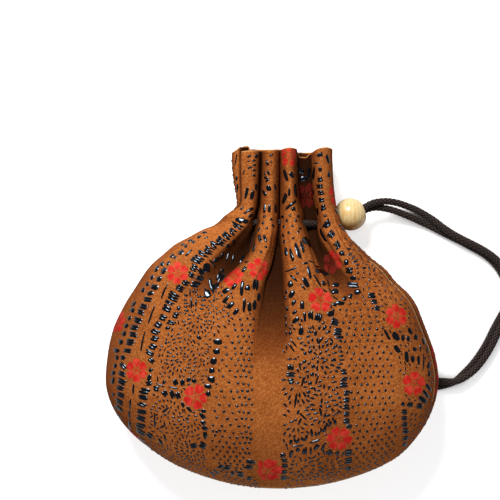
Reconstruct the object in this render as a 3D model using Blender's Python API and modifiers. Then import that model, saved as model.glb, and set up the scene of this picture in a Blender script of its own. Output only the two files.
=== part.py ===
"""Leather drawstring pouch, lying on its back with its mouth towards +Y.

Two leather panels, sewn round the sides and the base and turned, hold a cloth lining.
One cord runs round the neck through holes in the pleats, inside each ridge and outside
over each valley. Its two ends leave the right flank together, pass through a wooden bead
and end in one knot. Lengths are in metres, +Z is up and the pouch rests on z = 0.
"""

import math

import bmesh
import bpy
import numpy as np
from mathutils import Vector

# Outline, seen from above
HALF_WIDTH = 0.0714
BELLY_TO_BASE = 0.0473
SHOULDER_LENGTH = 0.0980
BASE_LEAN = 0.0034

# Heights above the resting surface
BELLY_TOP = 0.0445
BELLY_EQUATOR = 0.0180
BELLY_PRESS = 0.0015
NECK_TOP = 0.0270
NECK_EQUATOR = 0.0165
NECK_UNDERSIDE = 0.0026

# Materials and seams
LEATHER_THICKNESS = 0.0014
LINING_THICKNESS = 0.0005
FIT_GAP = 0.0003
SEAM_LAND = 0.0012
SEAM_RISE_SHARE = 0.75
SEAM_BITE = 8
FRONT_FOLD = 0.0080
BACK_FOLD = 0.0062

# Cord and bead
CORD_DIAMETER = 0.0029
CORD_CLEARANCE = 0.0003
STRAND_SPACING = 0.0032
BEAD_DIAMETER = 0.0140
BEAD_BORE = 0.0070
BEAD_LIP = 0.0005
BEAD_PLACE = Vector((0.0340, 0.0443, 0.0100))
BEAD_TURN = math.radians(21.5)
BEAD_DIP = math.radians(10.0)
BEAD_SEAT = 0.0004
KNOT_DIAMETER = 0.0068
KNOT_LENGTH = 0.0060
TAIL_LENGTH = 0.0045
TAIL_SPREAD_SHARE = 0.55
TAIL_HEIGHT_SHARE = 0.6
KNOT_FULLNESS = 0.6

CORD_RADIUS = CORD_DIAMETER / 2

# Levels run from 0 at the belly's widest line to 1 at the rim, and places across are
# shares of the half width. Each line is a list of (level, place) shares.
LEFT_OUTLINE_SHARES = (
    (0, -1), (0.105, -0.988), (0.21, -0.958), (0.316, -0.892), (0.395, -0.825),
    (0.491, -0.735), (0.542, -0.657), (0.588, -0.581), (0.618, -0.504), (0.654, -0.412),
    (0.671, -0.35), (0.715, -0.283), (0.763, -0.215), (0.868, -0.232), (1, -0.242))
RIGHT_OUTLINE_SHARES = (
    (0, 1), (0.105, 0.982), (0.21, 0.934), (0.316, 0.873), (0.368, 0.825), (0.421, 0.747),
    (0.474, 0.687), (0.526, 0.596), (0.579, 0.518), (0.618, 0.466), (0.65, 0.437),
    (0.7, 0.41), (0.763, 0.386), (0.868, 0.37), (1, 0.362))
LEFT_SEAM_INSET_SHARES = ((0, 0), (0.7, 0), (0.78, 0.03), (0.868, 0.045), (1, 0.055))
RIGHT_SEAM_INSET_SHARES = ((0, 0.024), (0.2, 0.034), (0.45, 0.03), (0.58, 0.01), (0.65, 0), (1, 0))

# How far the belly's heights have turned into the neck's, and how round each section is.
NECK_CHANGE_SHARES = ((0, 0), (0.254, 0.02), (0.386, 0.12), (0.51, 0.32), (0.605, 0.6), (0.68, 0.87),
                      (0.763, 1), (1, 1))
UNDERSIDE_CHANGE_SHARES = ((0, 0), (0.3, 0.08), (0.45, 0.25), (0.55, 0.5), (0.65, 0.82), (0.763, 1), (1, 1))
ROUNDNESS_SHARES = ((0, 0.85), (0.4, 0.8), (0.6, 0.62), (0.7, 0.5), (1, 0.5))

# A fold is a crest or a valley running down from the rim. Depths are shares of the fold
# depth, floors are the half width of a valley's flat bottom, and soft sides change from a
# rolled edge, 0, to an open slope, 1.
FRONT_CREST_SHARES = (
    ((0, -0.675), (0.167, -0.687), (0.342, -0.645), (0.43, -0.554), (0.487, -0.476), (0.539, -0.428),
     (0.583, -0.355), (0.627, -0.283), (0.675, -0.199), (0.715, -0.157), (0.763, -0.135), (1, -0.133)),
    ((0, -0.217), (0.254, -0.211), (0.386, -0.175), (0.447, -0.133), (0.53, -0.084), (0.583, -0.048),
     (0.684, -0.024), (1, -0.009)),
    ((0, 0.241), (0.167, 0.241), (0.35, 0.217), (0.425, 0.187), (0.491, 0.151), (0.575, 0.127),
     (0.71, 0.117), (1, 0.102)),
    ((0, 0.741), (0.254, 0.681), (0.386, 0.602), (0.47, 0.506), (0.548, 0.428), (0.588, 0.398),
     (0.632, 0.367), (0.675, 0.343), (0.715, 0.325), (0.8, 0.313), (1, 0.301)))
FRONT_VALLEY_SHARES = (
    {"line": ((0, -0.434), (0.254, -0.404), (0.386, -0.349), (0.447, -0.277), (0.491, -0.217),
              (0.535, -0.163), (0.583, -0.132), (0.627, -0.114), (0.671, -0.103), (0.715, -0.093),
              (0.763, -0.078), (1, -0.066)),
     "depth": ((0, 0), (0.254, 0.08), (0.34, 0.22), (0.386, 0.38), (0.447, 0.72), (0.52, 1.12),
               (0.575, 1.28), (0.625, 1.22), (0.68, 1), (0.763, 0.95), (1, 0.9)),
     "floor": ((0, 0), (1, 0)),
     "soft_left": ((0, 1), (0.5, 1), (0.6, 0.6), (0.7, 0), (1, 0)),
     "soft_right": ((0, 1), (0.32, 1), (0.42, 0.3), (0.5, 0), (1, 0))},
    {"line": ((0, -0.014), (0.146, -0.009), (0.234, -0.003), (0.343, 0.006), (0.431, 0.015),
              (0.51, 0.03), (0.606, 0.036), (0.66, 0.042), (0.715, 0.044), (1, 0.048)),
     "depth": ((0, 0), (0.1, 0.08), (0.17, 0.17), (0.254, 0.33), (0.34, 0.5), (0.42, 0.7),
               (0.5, 0.95), (0.575, 1.05), (0.68, 1), (1, 0.95)),
     "floor": ((0, 0.09), (0.146, 0.083), (0.234, 0.077), (0.343, 0.062), (0.431, 0.047),
               (0.51, 0.027), (0.6, 0.012), (0.68, 0), (1, 0)),
     "soft_left": ((0, 1), (0.15, 0.9), (0.3, 0.5), (0.42, 0.15), (0.5, 0), (1, 0)),
     "soft_right": ((0, 1), (0.15, 0.8), (0.28, 0.3), (0.4, 0), (1, 0))},
    {"line": ((0, 0.482), (0.167, 0.47), (0.342, 0.416), (0.417, 0.367), (0.474, 0.319), (0.53, 0.283),
              (0.575, 0.259), (0.671, 0.235), (0.715, 0.229), (0.8, 0.205), (1, 0.193)),
     "depth": ((0, 0), (0.254, 0.08), (0.342, 0.22), (0.417, 0.5), (0.474, 0.82), (0.53, 1.12),
               (0.575, 1.3), (0.66, 1.35), (0.763, 1.25), (1, 1)),
     "floor": ((0, 0.06), (0.3, 0.05), (0.47, 0.03), (0.53, 0.026), (0.605, 0.03), (0.7, 0.036), (1, 0.038)),
     "soft_left": ((0, 1), (0.3, 1), (0.42, 0.35), (0.5, 0), (1, 0)),
     "soft_right": ((0, 1), (0.52, 1), (0.62, 0.3), (0.7, 0), (1, 0))})
FRONT_RIM_SHARES = ((-0.2, -0.012), (-0.13, -0.009), (0.04, -0.004), (0.1, 0.004), (0.15, 0),
                    (0.163, -0.034), (0.205, -0.036), (0.225, -0.022), (0.25, -0.008), (0.28, 0.001),
                    (0.33, 0.006), (0.365, 0.001), (0.4, -0.004))

BACK_CREST_SHARES = (
    ((0, -0.62), (0.35, -0.6), (0.5, -0.46), (0.62, -0.3), (0.7, -0.2), (0.78, -0.17), (1, -0.18)),
    ((0, -0.2), (0.4, -0.17), (0.6, -0.08), (0.7, -0.045), (1, -0.04)),
    ((0, 0.25), (0.4, 0.22), (0.6, 0.12), (0.7, 0.1), (1, 0.1)),
    ((0, 0.66), (0.35, 0.6), (0.5, 0.46), (0.62, 0.33), (0.7, 0.29), (1, 0.27)))
BACK_VALLEY_SHARES = (
    {"line": ((0, -0.4), (0.4, -0.36), (0.55, -0.25), (0.65, -0.14), (0.72, -0.11), (1, -0.11)),
     "depth": ((0, 0), (0.3, 0), (0.45, 0.25), (0.58, 0.8), (0.68, 1), (1, 0.95)),
     "floor": ((0, 0), (1, 0)),
     "soft_left": ((0, 1), (0.58, 1), (0.7, 0), (1, 0)),
     "soft_right": ((0, 1), (0.5, 1), (0.64, 0), (1, 0))},
    {"line": ((0, 0.02), (0.4, 0.02), (0.6, 0.025), (0.7, 0.03), (1, 0.03)),
     "depth": ((0, 0), (0.35, 0.05), (0.5, 0.5), (0.6, 0.9), (0.68, 1), (1, 0.95)),
     "floor": ((0, 0), (1, 0)),
     "soft_left": ((0, 1), (0.48, 1), (0.62, 0), (1, 0)),
     "soft_right": ((0, 1), (0.48, 1), (0.62, 0), (1, 0))},
    {"line": ((0, 0.46), (0.4, 0.4), (0.55, 0.27), (0.65, 0.19), (0.72, 0.175), (1, 0.17)),
     "depth": ((0, 0), (0.3, 0), (0.45, 0.3), (0.58, 0.85), (0.68, 1), (1, 0.95)),
     "floor": ((0, 0), (1, 0)),
     "soft_left": ((0, 1), (0.5, 1), (0.64, 0), (1, 0)),
     "soft_right": ((0, 1), (0.55, 1), (0.68, 0), (1, 0))})
BACK_RIM_SHARES = ((-0.25, -0.014), (-0.22, -0.005), (-0.165, 0.018), (-0.14, 0.017), (-0.125, 0.002),
                   (0.1, 0.002), (0.16, -0.012), (0.25, -0.01), (0.3, 0.002), (0.4, 0.002))
RIM_LIFT_SHARE = max(lift for _, lift in FRONT_RIM_SHARES + BACK_RIM_SHARES)
BELLY_Y = (BELLY_TO_BASE - SHOULDER_LENGTH * (1 + RIM_LIFT_SHARE)) / 2

# Rows of the mesh, as levels above the belly line, and columns between the folds
PANEL_LEVEL_SHARES = (0, 0.08, 0.16, 0.24, 0.31, 0.37, 0.42, 0.47, 0.515, 0.555, 0.59, 0.62, 0.645, 0.68,
                      0.71, 0.745, 0.79, 0.85, 0.92, 1)
LINING_TOP_SHARE = 0.645
RIM_LEVEL_SHARE = 1
RIM_START_SHARE = 0.7
BASE_ROWS = 7
OUTER_COLUMNS = 5
FOLD_COLUMNS = 3
FLOOR_COLUMNS = 2
ARC_SAMPLES = 24
ROUTE_SAMPLES = 8
CORD_BEVEL_STEPS = 2
BEAD_ROWS = 13
BEAD_STEPS = 28
KNOT_ROWS = 9
KNOT_STEPS = 16
TAIL_STEPS = 10
ROW_SLACK_SHARE = 0.01
WELD_DISTANCE = 0.00003

# Neck cord, from its front end at the bead's holes round the neck and back. The first and
# last points are added from the bead's axis.
FRONT_RUN = (
    (0.0222, 0.0402, 0.0147), (0.0206, 0.0399, 0.0166), (0.0190, 0.0399, 0.0185), (0.0170, 0.0400, 0.0201),
    (0.0145, 0.0402, 0.0213), (0.0118, 0.0405, 0.0221), (0.0085, 0.0406, 0.0224), (0.0035, 0.0406, 0.0225),
    (-0.0015, 0.0406, 0.0225), (-0.0065, 0.0406, 0.0225), (-0.0110, 0.0405, 0.0222))
LEFT_TURN = ((-0.0148, 0.0403, 0.0207), (-0.0175, 0.0401, 0.0178), (-0.0184, 0.0400, 0.0144),
             (-0.0175, 0.0401, 0.0110), (-0.0148, 0.0403, 0.0082))
BACK_RUN = ((-0.0110, 0.0405, 0.0068), (-0.0060, 0.0406, 0.0064), (0.0000, 0.0406, 0.0064),
            (0.0060, 0.0406, 0.0064), (0.0115, 0.0405, 0.0066), (0.0158, 0.0401, 0.0077),
            (0.0195, 0.0397, 0.0096))

# The two ends as a pair past the bead: the middle of the pair, how far the pair is turned
# about its own run, in degrees, and half the distance between the two strands.
PAIR_ROUTE = (
    (0.0488, 0.0485, 0.0070, 28, 0.00170), (0.0533, 0.0478, 0.0057, 12, 0.00180),
    (0.0575, 0.0464, 0.0044, 4, 0.00190), (0.0620, 0.0446, 0.0032, 2, 0.00190),
    (0.0662, 0.0425, 0.0024, 12, 0.00176), (0.0700, 0.0404, 0.0024, 30, 0.00164),
    (0.0739, 0.0379, 0.0028, 52, 0.00160), (0.0785, 0.0352, 0.0030, 66, 0.00160),
    (0.0832, 0.0328, 0.0031, 70, 0.00160), (0.0878, 0.0304, 0.0030, 66, 0.00160),
    (0.0918, 0.0282, 0.0031, 66, 0.00160), (0.0953, 0.0258, 0.0031, 62, 0.00160),
    (0.0984, 0.0228, 0.0030, 58, 0.00160), (0.1012, 0.0186, 0.0029, 54, 0.00160),
    (0.1034, 0.0134, 0.0029, 52, 0.00160), (0.1039, 0.0077, 0.0029, 50, 0.00160),
    (0.1026, 0.0030, 0.0029, 50, 0.00160), (0.1004, -0.0010, 0.0028, 48, 0.00160),
    (0.0976, -0.0062, 0.0028, 46, 0.00160), (0.0949, -0.0118, 0.0028, 43, 0.00160),
    (0.0918, -0.0170, 0.0027, 42, 0.00160), (0.0882, -0.0217, 0.0028, 46, 0.00160),
    (0.0841, -0.0255, 0.0030, 62, 0.00160), (0.0798, -0.0283, 0.0031, 92, 0.00160),
    (0.0755, -0.0291, 0.0030, 122, 0.00160), (0.0720, -0.0294, 0.0029, 142, 0.00160))
BORE_TWIST = (76, 70, 52)
KNOT_PLACE = Vector((0.0662, -0.0294, 0.00345))
BEAD_TRAVEL = 0.0050
STRAND_STEP = 0.0060
NECK_STEP = 0.0028


def ramp(pairs, place):
    """Smooth curve through (place, value) pairs that never overshoots them."""
    places, values = np.array(pairs, float).T
    steps = np.diff(places)
    slopes = np.diff(values) / steps
    before, after = slopes[:-1], slopes[1:]
    level = before * after > 0
    tangents = np.zeros_like(values)
    tangents[1:-1][level] = 2 * before[level] * after[level] / (before + after)[level]
    index = np.clip(np.searchsorted(places, place, side="right") - 1, 0, len(steps) - 1)
    t = np.clip((place - places[index]) / steps[index], 0, 1)
    start = values[index] * (1 + 2 * t) * (1 - t) ** 2 + steps[index] * tangents[index] * t * (1 - t) ** 2
    end = values[index + 1] * t * t * (3 - 2 * t) - steps[index] * tangents[index + 1] * t * t * (1 - t)
    return start + end


def mix(first, second, share):
    return first + (second - first) * share


class Section:
    """Heights and seam places of the pouch at one level."""

    def __init__(self, level):
        self.level = level
        left = HALF_WIDTH * ramp(LEFT_OUTLINE_SHARES, level)
        right = HALF_WIDTH * ramp(RIGHT_OUTLINE_SHARES, level)
        self.middle, self.half = (left + right) / 2, (right - left) / 2
        change = ramp(NECK_CHANGE_SHARES, level)
        self.top = mix(BELLY_TOP, NECK_TOP, change)
        self.equator = mix(BELLY_EQUATOR, NECK_EQUATOR, change)
        self.under = mix(-BELLY_PRESS, NECK_UNDERSIDE, ramp(UNDERSIDE_CHANGE_SHARES, level))
        self.round = ramp(ROUNDNESS_SHARES, level)
        self.rise = (self.top - self.equator) * SEAM_RISE_SHARE
        insets = (ramp(LEFT_SEAM_INSET_SHARES, level), ramp(RIGHT_SEAM_INSET_SHARES, level))
        self.turns = [math.acos(1 - HALF_WIDTH * inset / self.half) for inset in insets]
        self.seams = [self.equator + self.rise * math.sin(turn) ** self.round for turn in self.turns]

    def back_height(self, bow):
        """Height of the back panel, from its underside, bow 1, up past the widest line, bow 0."""
        return self.equator - np.where(bow > 0, self.equator - self.under, self.rise) * bow


def rolled(share, soft):
    """Fall from a crest, 0, to a valley, 1, of a rolled or an open side."""
    return (1 - soft) * (1 - np.sqrt(1 - share ** 2)) + soft * np.sin(math.pi / 2 * share) ** 2


def fold_depth(across, level, crests, valleys, full_depth):
    """Depth of the folds below the smooth form, at places across a section."""
    depth = np.zeros_like(across)
    lines = [HALF_WIDTH * ramp(crest, level) for crest in crests]
    for left, right, valley in zip(lines, lines[1:], valleys):
        bottom = HALF_WIDTH * ramp(valley["line"], level)
        floor = HALF_WIDTH * ramp(valley["floor"], level)
        from_left = np.clip((across - left) / (bottom - floor - left), 0, 1)
        from_right = np.clip((right - across) / (right - bottom - floor), 0, 1)
        soft_left, soft_right = ramp(valley["soft_left"], level), ramp(valley["soft_right"], level)
        side = np.where(across < bottom, rolled(from_left, soft_left), rolled(from_right, soft_right))
        depth += full_depth * ramp(valley["depth"], level) * side
    return depth


def front_angles(section):
    """Angles round the front section of its seams, crests and valleys."""
    left, right = section.turns
    low = section.middle - section.half * math.cos(left)
    high = section.middle + section.half * math.cos(right)
    places = fold_places(section.level, FRONT_CREST_SHARES, FRONT_VALLEY_SHARES)
    shares = [(2 * place - low - high) / (high - low) for place in places]
    return [-math.pi / 2, *(math.asin(share) for share in shares), math.pi / 2], (low, high)


def back_angles(section):
    left, right = section.turns
    places = fold_places(section.level, BACK_CREST_SHARES, BACK_VALLEY_SHARES)
    angles = (math.asin((place - section.middle) / section.half) for place in places)
    return [-math.pi / 2 - left, *angles, math.pi / 2 + right]


def fold_places(level, crests, valleys):
    """Places across of each crest and each valley edge, from left to right."""
    places = [HALF_WIDTH * ramp(crests[0], level)]
    for crest, valley in zip(crests[1:], valleys):
        bottom = HALF_WIDTH * ramp(valley["line"], level)
        floor = HALF_WIDTH * ramp(valley["floor"], level)
        places += [bottom - floor, bottom + floor] if has_floor(valley) else [bottom]
        places.append(HALF_WIDTH * ramp(crest, level))
    return places


def has_floor(valley):
    return min(width for _, width in valley["floor"][-2:]) > 0


def columns_between(valleys):
    """Columns from the left seam to the right one, feature by feature."""
    counts = [OUTER_COLUMNS]
    for valley in valleys:
        counts += [FOLD_COLUMNS, FLOOR_COLUMNS, FOLD_COLUMNS] if has_floor(valley) else [FOLD_COLUMNS] * 2
    return counts + [OUTER_COLUMNS]


def even_angles(angles, counts, points_at):
    """Angles that split each stretch between features into equal lengths of leather."""
    result = [angles[0]]
    for start, end, count in zip(angles, angles[1:], counts):
        fine = np.linspace(start, end, ARC_SAMPLES + 1)
        across, height = points_at(fine)
        length = np.concatenate([[0], np.cumsum(np.hypot(np.diff(across), np.diff(height)))])
        wanted = length[-1] * np.arange(1, count + 1) / count
        result += list(np.interp(wanted, length, fine))
    return np.array(result)


def front_curve(section, limits):
    low, high = limits
    middle, half = (low + high) / 2, (high - low) / 2

    def points_at(angles):
        across = middle + half * np.sin(angles)
        share = (across - low) / (high - low)
        base = mix(*section.seams, share) + FIT_GAP / 2 + SEAM_LAND
        arch = np.clip(np.cos(angles), 0, 1) ** section.round
        depth = fold_depth(across, section.level, FRONT_CREST_SHARES, FRONT_VALLEY_SHARES, FRONT_FOLD)
        return across, base + (section.top - base) * arch - depth

    return points_at


def back_curve(section):
    def points_at(angles):
        across = section.middle + section.half * np.sin(angles)
        cosine = np.cos(angles)
        bow = np.sign(cosine) * np.abs(cosine) ** section.round
        depth = fold_depth(across, section.level, BACK_CREST_SHARES, BACK_VALLEY_SHARES, BACK_FOLD)
        height = section.back_height(bow) + np.where(cosine > 0, depth, 0)
        ends = np.interp(angles, (angles[0], 0, angles[-1]), (1, 0, 1)) ** SEAM_BITE
        return across, np.maximum(height - (FIT_GAP / 2 + SEAM_LAND) * ends, 0)

    return points_at


def rim_weight(level):
    share = np.clip((level - RIM_START_SHARE) / (1 - RIM_START_SHARE), 0, 1)
    return share * share * (3 - 2 * share)


def upper_row(level, front):
    section = Section(level)
    if front:
        angles, limits = front_angles(section)
        points_at, valleys, rim = front_curve(section, limits), FRONT_VALLEY_SHARES, FRONT_RIM_SHARES
    else:
        angles = back_angles(section)
        points_at, valleys, rim = back_curve(section), BACK_VALLEY_SHARES, BACK_RIM_SHARES
    angles = even_angles(angles, columns_between(valleys), points_at)
    across, height = points_at(angles)
    lift = ramp(rim, across / HALF_WIDTH) * rim_weight(level)
    along = BELLY_Y + SHOULDER_LENGTH * (level + lift)
    return np.stack([across, along, height], axis=1), angles


def lower_row(turn, angles, front):
    """A row between the belly line, turn 0, and the base seam, turn pi / 2."""
    section = Section(0)
    drop, level = math.sin(turn), max(math.cos(turn), 0)
    fade = level ** section.round
    left, right = (past * level for past in section.turns)
    if front:
        share = mix(-math.cos(left), math.cos(right), (np.sin(angles) + 1) / 2)
        rises = [section.rise * math.sin(past) ** section.round * fade for past in (left, right)]
        base = section.equator + mix(*rises, (np.sin(angles) + 1) / 2) + FIT_GAP / 2 + SEAM_LAND
        height = base + (section.top - base) * np.clip(np.cos(angles), 0, 1) ** section.round * fade
    else:
        ends = np.interp(angles, (angles[0], 0, angles[-1]), (1, 0, 1)) ** SEAM_BITE
        angles = np.interp(angles, (angles[0], 0, angles[-1]), (-math.pi / 2 - left, 0, math.pi / 2 + right))
        share = np.sin(angles)
        bow = np.sign(np.cos(angles)) * np.abs(np.cos(angles)) ** section.round * fade
        bite = (FIT_GAP / 2 + SEAM_LAND) * np.maximum(ends, drop ** SEAM_BITE)
        height = np.maximum(section.back_height(bow) - bite, 0)
    across = HALF_WIDTH * share * math.sqrt(1 - drop ** 2 / 2) + BASE_LEAN * drop ** 2
    along = BELLY_Y - BELLY_TO_BASE * drop * np.sqrt(1 - share ** 2 / 2)
    return np.stack([across, along, height], axis=1)


def panel_rows(front, levels):
    """Rows of points from the base seam up to the last level."""
    first, angles = upper_row(levels[0], front)
    turns = np.linspace(math.pi / 2, 0, BASE_ROWS + 1)[:-1]
    rows = [lower_row(turn, angles, front) for turn in turns]
    return rows + [first] + [upper_row(level, front)[0] for level in levels[1:]]


def pressed_by_bead(point):
    """The neck's flank gives way where the bead is drawn up against it."""
    away = point - BEAD_PLACE
    clear = BEAD_DIAMETER / 2 + BEAD_SEAT
    if away.length < clear:
        return BEAD_PLACE + away.normalized() * clear
    return point


def panel_mesh(name, front, top_level, inset):
    """An open panel up to its top level, its seam edge square to the seam, moved in by the inset."""
    mesh = bmesh.new()
    grid = [[mesh.verts.new(pressed_by_bead(Vector(point))) for point in row]
            for row in panel_rows(front, PANEL_LEVEL_SHARES)]
    for low, high in zip(grid, grid[1:]):
        for corners in zip(low, low[1:], high[1:], high):
            mesh.faces.new(corners if front else corners[::-1])
    rim = {frozenset(pair) for pair in zip(grid[-1], grid[-1][1:])}
    seam = [edge for edge in mesh.edges if edge.is_boundary and frozenset(edge.verts) not in rim]
    edge_verts = bmesh.ops.extrude_edge_only(mesh, edges=seam)["geom"]
    step = Vector((0, 0, -SEAM_LAND if front else SEAM_LAND))
    for item in edge_verts:
        if isinstance(item, bmesh.types.BMVert):
            item.co += step
    bmesh.ops.recalc_face_normals(mesh, faces=mesh.faces)
    middle = min(mesh.faces, key=lambda face: (face.calc_center_median() - Vector((0, BELLY_Y, 0))).xy.length)
    middle.normal_update()
    if (middle.normal.z > 0) != front:
        bmesh.ops.reverse_faces(mesh, faces=mesh.faces)
    bmesh.ops.triangulate(mesh, faces=mesh.faces, quad_method="SHORT_EDGE")
    mesh.normal_update()
    top = BELLY_Y + SHOULDER_LENGTH * (top_level + ROW_SLACK_SHARE)
    above = [vert for vert in mesh.verts if vert.co.y > top]
    for vert in mesh.verts:
        vert.co -= vert.normal * inset
    if top_level < RIM_LEVEL_SHARE:
        bmesh.ops.delete(mesh, geom=above, context="VERTS")
    data = bpy.data.meshes.new(name)
    mesh.to_mesh(data)
    mesh.free()
    return data


def material(name, colour, roughness):
    result = bpy.data.materials.new(name)
    result.use_nodes = True
    shader = result.node_tree.nodes["Principled BSDF"]
    shader.inputs["Base Color"].default_value = (*colour, 1)
    shader.inputs["Roughness"].default_value = roughness
    return result


def add_object(name, data, finish, collection):
    result = bpy.data.objects.new(name, data)
    collection.objects.link(result)
    data.materials.append(finish)
    return result


def add_shell(name, front, top_level, inset, thickness, finish, collection):
    result = add_object(name, panel_mesh(name, front, top_level, inset), finish, collection)
    shell = result.modifiers.new("thickness", "SOLIDIFY")
    shell.thickness = thickness
    shell.offset = -1
    result.data.shade_smooth()
    return result


def smooth_points(points, step):
    """Points about one step apart on a smooth curve through the given points."""
    route = [Vector(point) for point in points]
    route = [2 * route[0] - route[1], *route, 2 * route[-1] - route[-2]]
    fine = []
    for before, start, end, after in zip(route, route[1:], route[2:], route[3:]):
        for share in np.arange(ROUTE_SAMPLES) / ROUTE_SAMPLES:
            fine.append(0.5 * (2 * start + (end - before) * share
                               + (2 * before - 5 * start + 4 * end - after) * share ** 2
                               + (3 * start - before - 3 * end + after) * share ** 3))
    fine.append(route[-2])
    lengths = [0.0]
    for start, end in zip(fine, fine[1:]):
        lengths.append(lengths[-1] + (end - start).length)
    count = round(lengths[-1] / step)
    wanted = np.linspace(0, lengths[-1], count + 1)
    coordinates = np.array(fine)
    return [Vector(place) for place in
            np.stack([np.interp(wanted, lengths, coordinates[:, axis]) for axis in range(3)], axis=1)]


def cord_curve(name, points, radius):
    """A round cord as a curve with closed ends."""
    data = bpy.data.curves.new(name, "CURVE")
    data.dimensions = "3D"
    data.bevel_depth = radius
    data.bevel_resolution = CORD_BEVEL_STEPS
    data.use_fill_caps = True
    spline = data.splines.new("POLY")
    spline.points.add(len(points) - 1)
    for slot, place in zip(spline.points, points):
        slot.co = (*place, 1)
    return data


def curve_to_mesh(source):
    """Mesh object with the curve's name and place, its end caps welded."""
    data = bpy.data.meshes.new_from_object(source.evaluated_get(bpy.context.evaluated_depsgraph_get()))
    mesh = bmesh.new()
    mesh.from_mesh(data)
    bmesh.ops.remove_doubles(mesh, verts=mesh.verts, dist=WELD_DISTANCE)
    bmesh.ops.recalc_face_normals(mesh, faces=mesh.faces)
    mesh.to_mesh(data)
    mesh.free()
    name, collection = source.name, source.users_collection[0]
    place = source.matrix_world.copy()
    bpy.data.objects.remove(source)
    result = bpy.data.objects.new(name, data)
    result.matrix_world = place
    collection.objects.link(result)
    return result


def bead_axis():
    """The bore's direction away from the neck."""
    level = math.cos(BEAD_DIP)
    return Vector((math.cos(BEAD_TURN) * level, math.sin(BEAD_TURN) * level, -math.sin(BEAD_DIP)))


def pair_offset(direction, degrees, half_gap):
    """Offset of the first strand from the middle of the pair."""
    side = Vector((-direction.y, direction.x, 0)).normalized()
    up = direction.cross(side).normalized()
    turn = math.radians(degrees)
    return half_gap * (math.cos(turn) * side + math.sin(turn) * up)


def neck_points():
    """Route of the neck cord, from its upper end at the bead round to its lower end."""
    along = bead_axis()
    start = BEAD_DIAMETER / 2 + BEAD_SEAT + LEATHER_THICKNESS / 2 + CORD_CLEARANCE / 2
    offset = pair_offset(along, BORE_TWIST[0], STRAND_SPACING / 2)
    ends = [[BEAD_PLACE - along * reach + sign * offset for reach in (start, start + CORD_DIAMETER)]
            for sign in (1, -1)]
    return [*ends[0], *FRONT_RUN, *LEFT_TURN, *BACK_RUN, *ends[1][::-1]]


def strand_points(sign):
    """Route of one strand from the neck through the bead and along the floor to the knot."""
    along = bead_axis()
    mouth = math.sqrt((BEAD_DIAMETER / 2) ** 2 - (BEAD_BORE / 2) ** 2)
    start = BEAD_DIAMETER / 2 + BEAD_SEAT + LEATHER_THICKNESS / 2 - CORD_CLEARANCE / 2
    reaches = (-start, 0, mouth, mouth + BEAD_TRAVEL)
    twists = (BORE_TWIST[0], BORE_TWIST[0], *BORE_TWIST[1:])
    points = [BEAD_PLACE + along * reach + sign * pair_offset(along, twist, STRAND_SPACING / 2)
              for reach, twist in zip(reaches, twists)]
    middles = [BEAD_PLACE + along * reaches[-1], *(Vector(row[:3]) for row in PAIR_ROUTE)]
    end = KNOT_PLACE + Vector((KNOT_LENGTH / 2 + CORD_CLEARANCE, 0, PAIR_ROUTE[-1][2] - KNOT_PLACE.z))
    middles.append(end)
    for index, row in enumerate(PAIR_ROUTE, 1):
        direction = (middles[index + 1] - middles[index - 1]).normalized()
        points.append(middles[index] + sign * pair_offset(direction, *row[3:]))
    points.append(end + sign * pair_offset(Vector((-1, 0, 0)), *PAIR_ROUTE[-1][3:]))
    return points


def add_cord(name, points, finish, collection):
    data = cord_curve(name, points, CORD_RADIUS)
    result = bpy.data.objects.new(name, data)
    collection.objects.link(result)
    data.materials.append(finish)
    return result


def add_hole_cutter(name, points, collection):
    """A cord's route with its clearance, as a cutter for the holes it passes through."""
    data = cord_curve(name, points, CORD_RADIUS + CORD_CLEARANCE)
    curve = bpy.data.objects.new(name, data)
    collection.objects.link(curve)
    bpy.context.view_layer.update()
    cutter = curve_to_mesh(curve)
    cutter.hide_render = True
    cutter.display_type = "WIRE"
    return cutter


def cut(target, cutter):
    hole = target.modifiers.new(cutter.name, "BOOLEAN")
    hole.operation = "DIFFERENCE"
    hole.object = cutter
    hole.solver = "EXACT"


def turned(name, profile, closed, steps, finish, collection):
    """A turned solid about its own Z axis, from a profile of (radius, height) points."""
    data = bpy.data.meshes.new(name)
    count = len(profile)
    edges = [(index, index + 1) for index in range(count - 1)] + ([(count - 1, 0)] if closed else [])
    data.from_pydata([(radius, 0, height) for radius, height in profile], edges, [])
    result = add_object(name, data, finish, collection)
    screw = result.modifiers.new("turn", "SCREW")
    screw.steps = screw.render_steps = steps
    screw.use_merge_vertices = True
    screw.merge_threshold = WELD_DISTANCE
    screw.use_smooth_shade = True
    return result


def add_bead(finish, collection):
    radius, bore = BEAD_DIAMETER / 2, BEAD_BORE / 2
    lip = bore + BEAD_LIP
    low = math.acos(lip / radius)
    profile = [(radius * math.cos(turn), radius * math.sin(turn))
               for turn in np.linspace(low, -low, BEAD_ROWS)]
    inner = math.sqrt(radius ** 2 - lip ** 2) - BEAD_LIP
    profile += [(bore, -inner), (bore, 0), (bore, inner)]
    bead = turned("cord_bead", profile, True, BEAD_STEPS, finish, collection)
    bead.location = BEAD_PLACE
    bead.rotation_euler = bead_axis().to_track_quat("Z", "Y").to_euler()
    return bead


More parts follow.
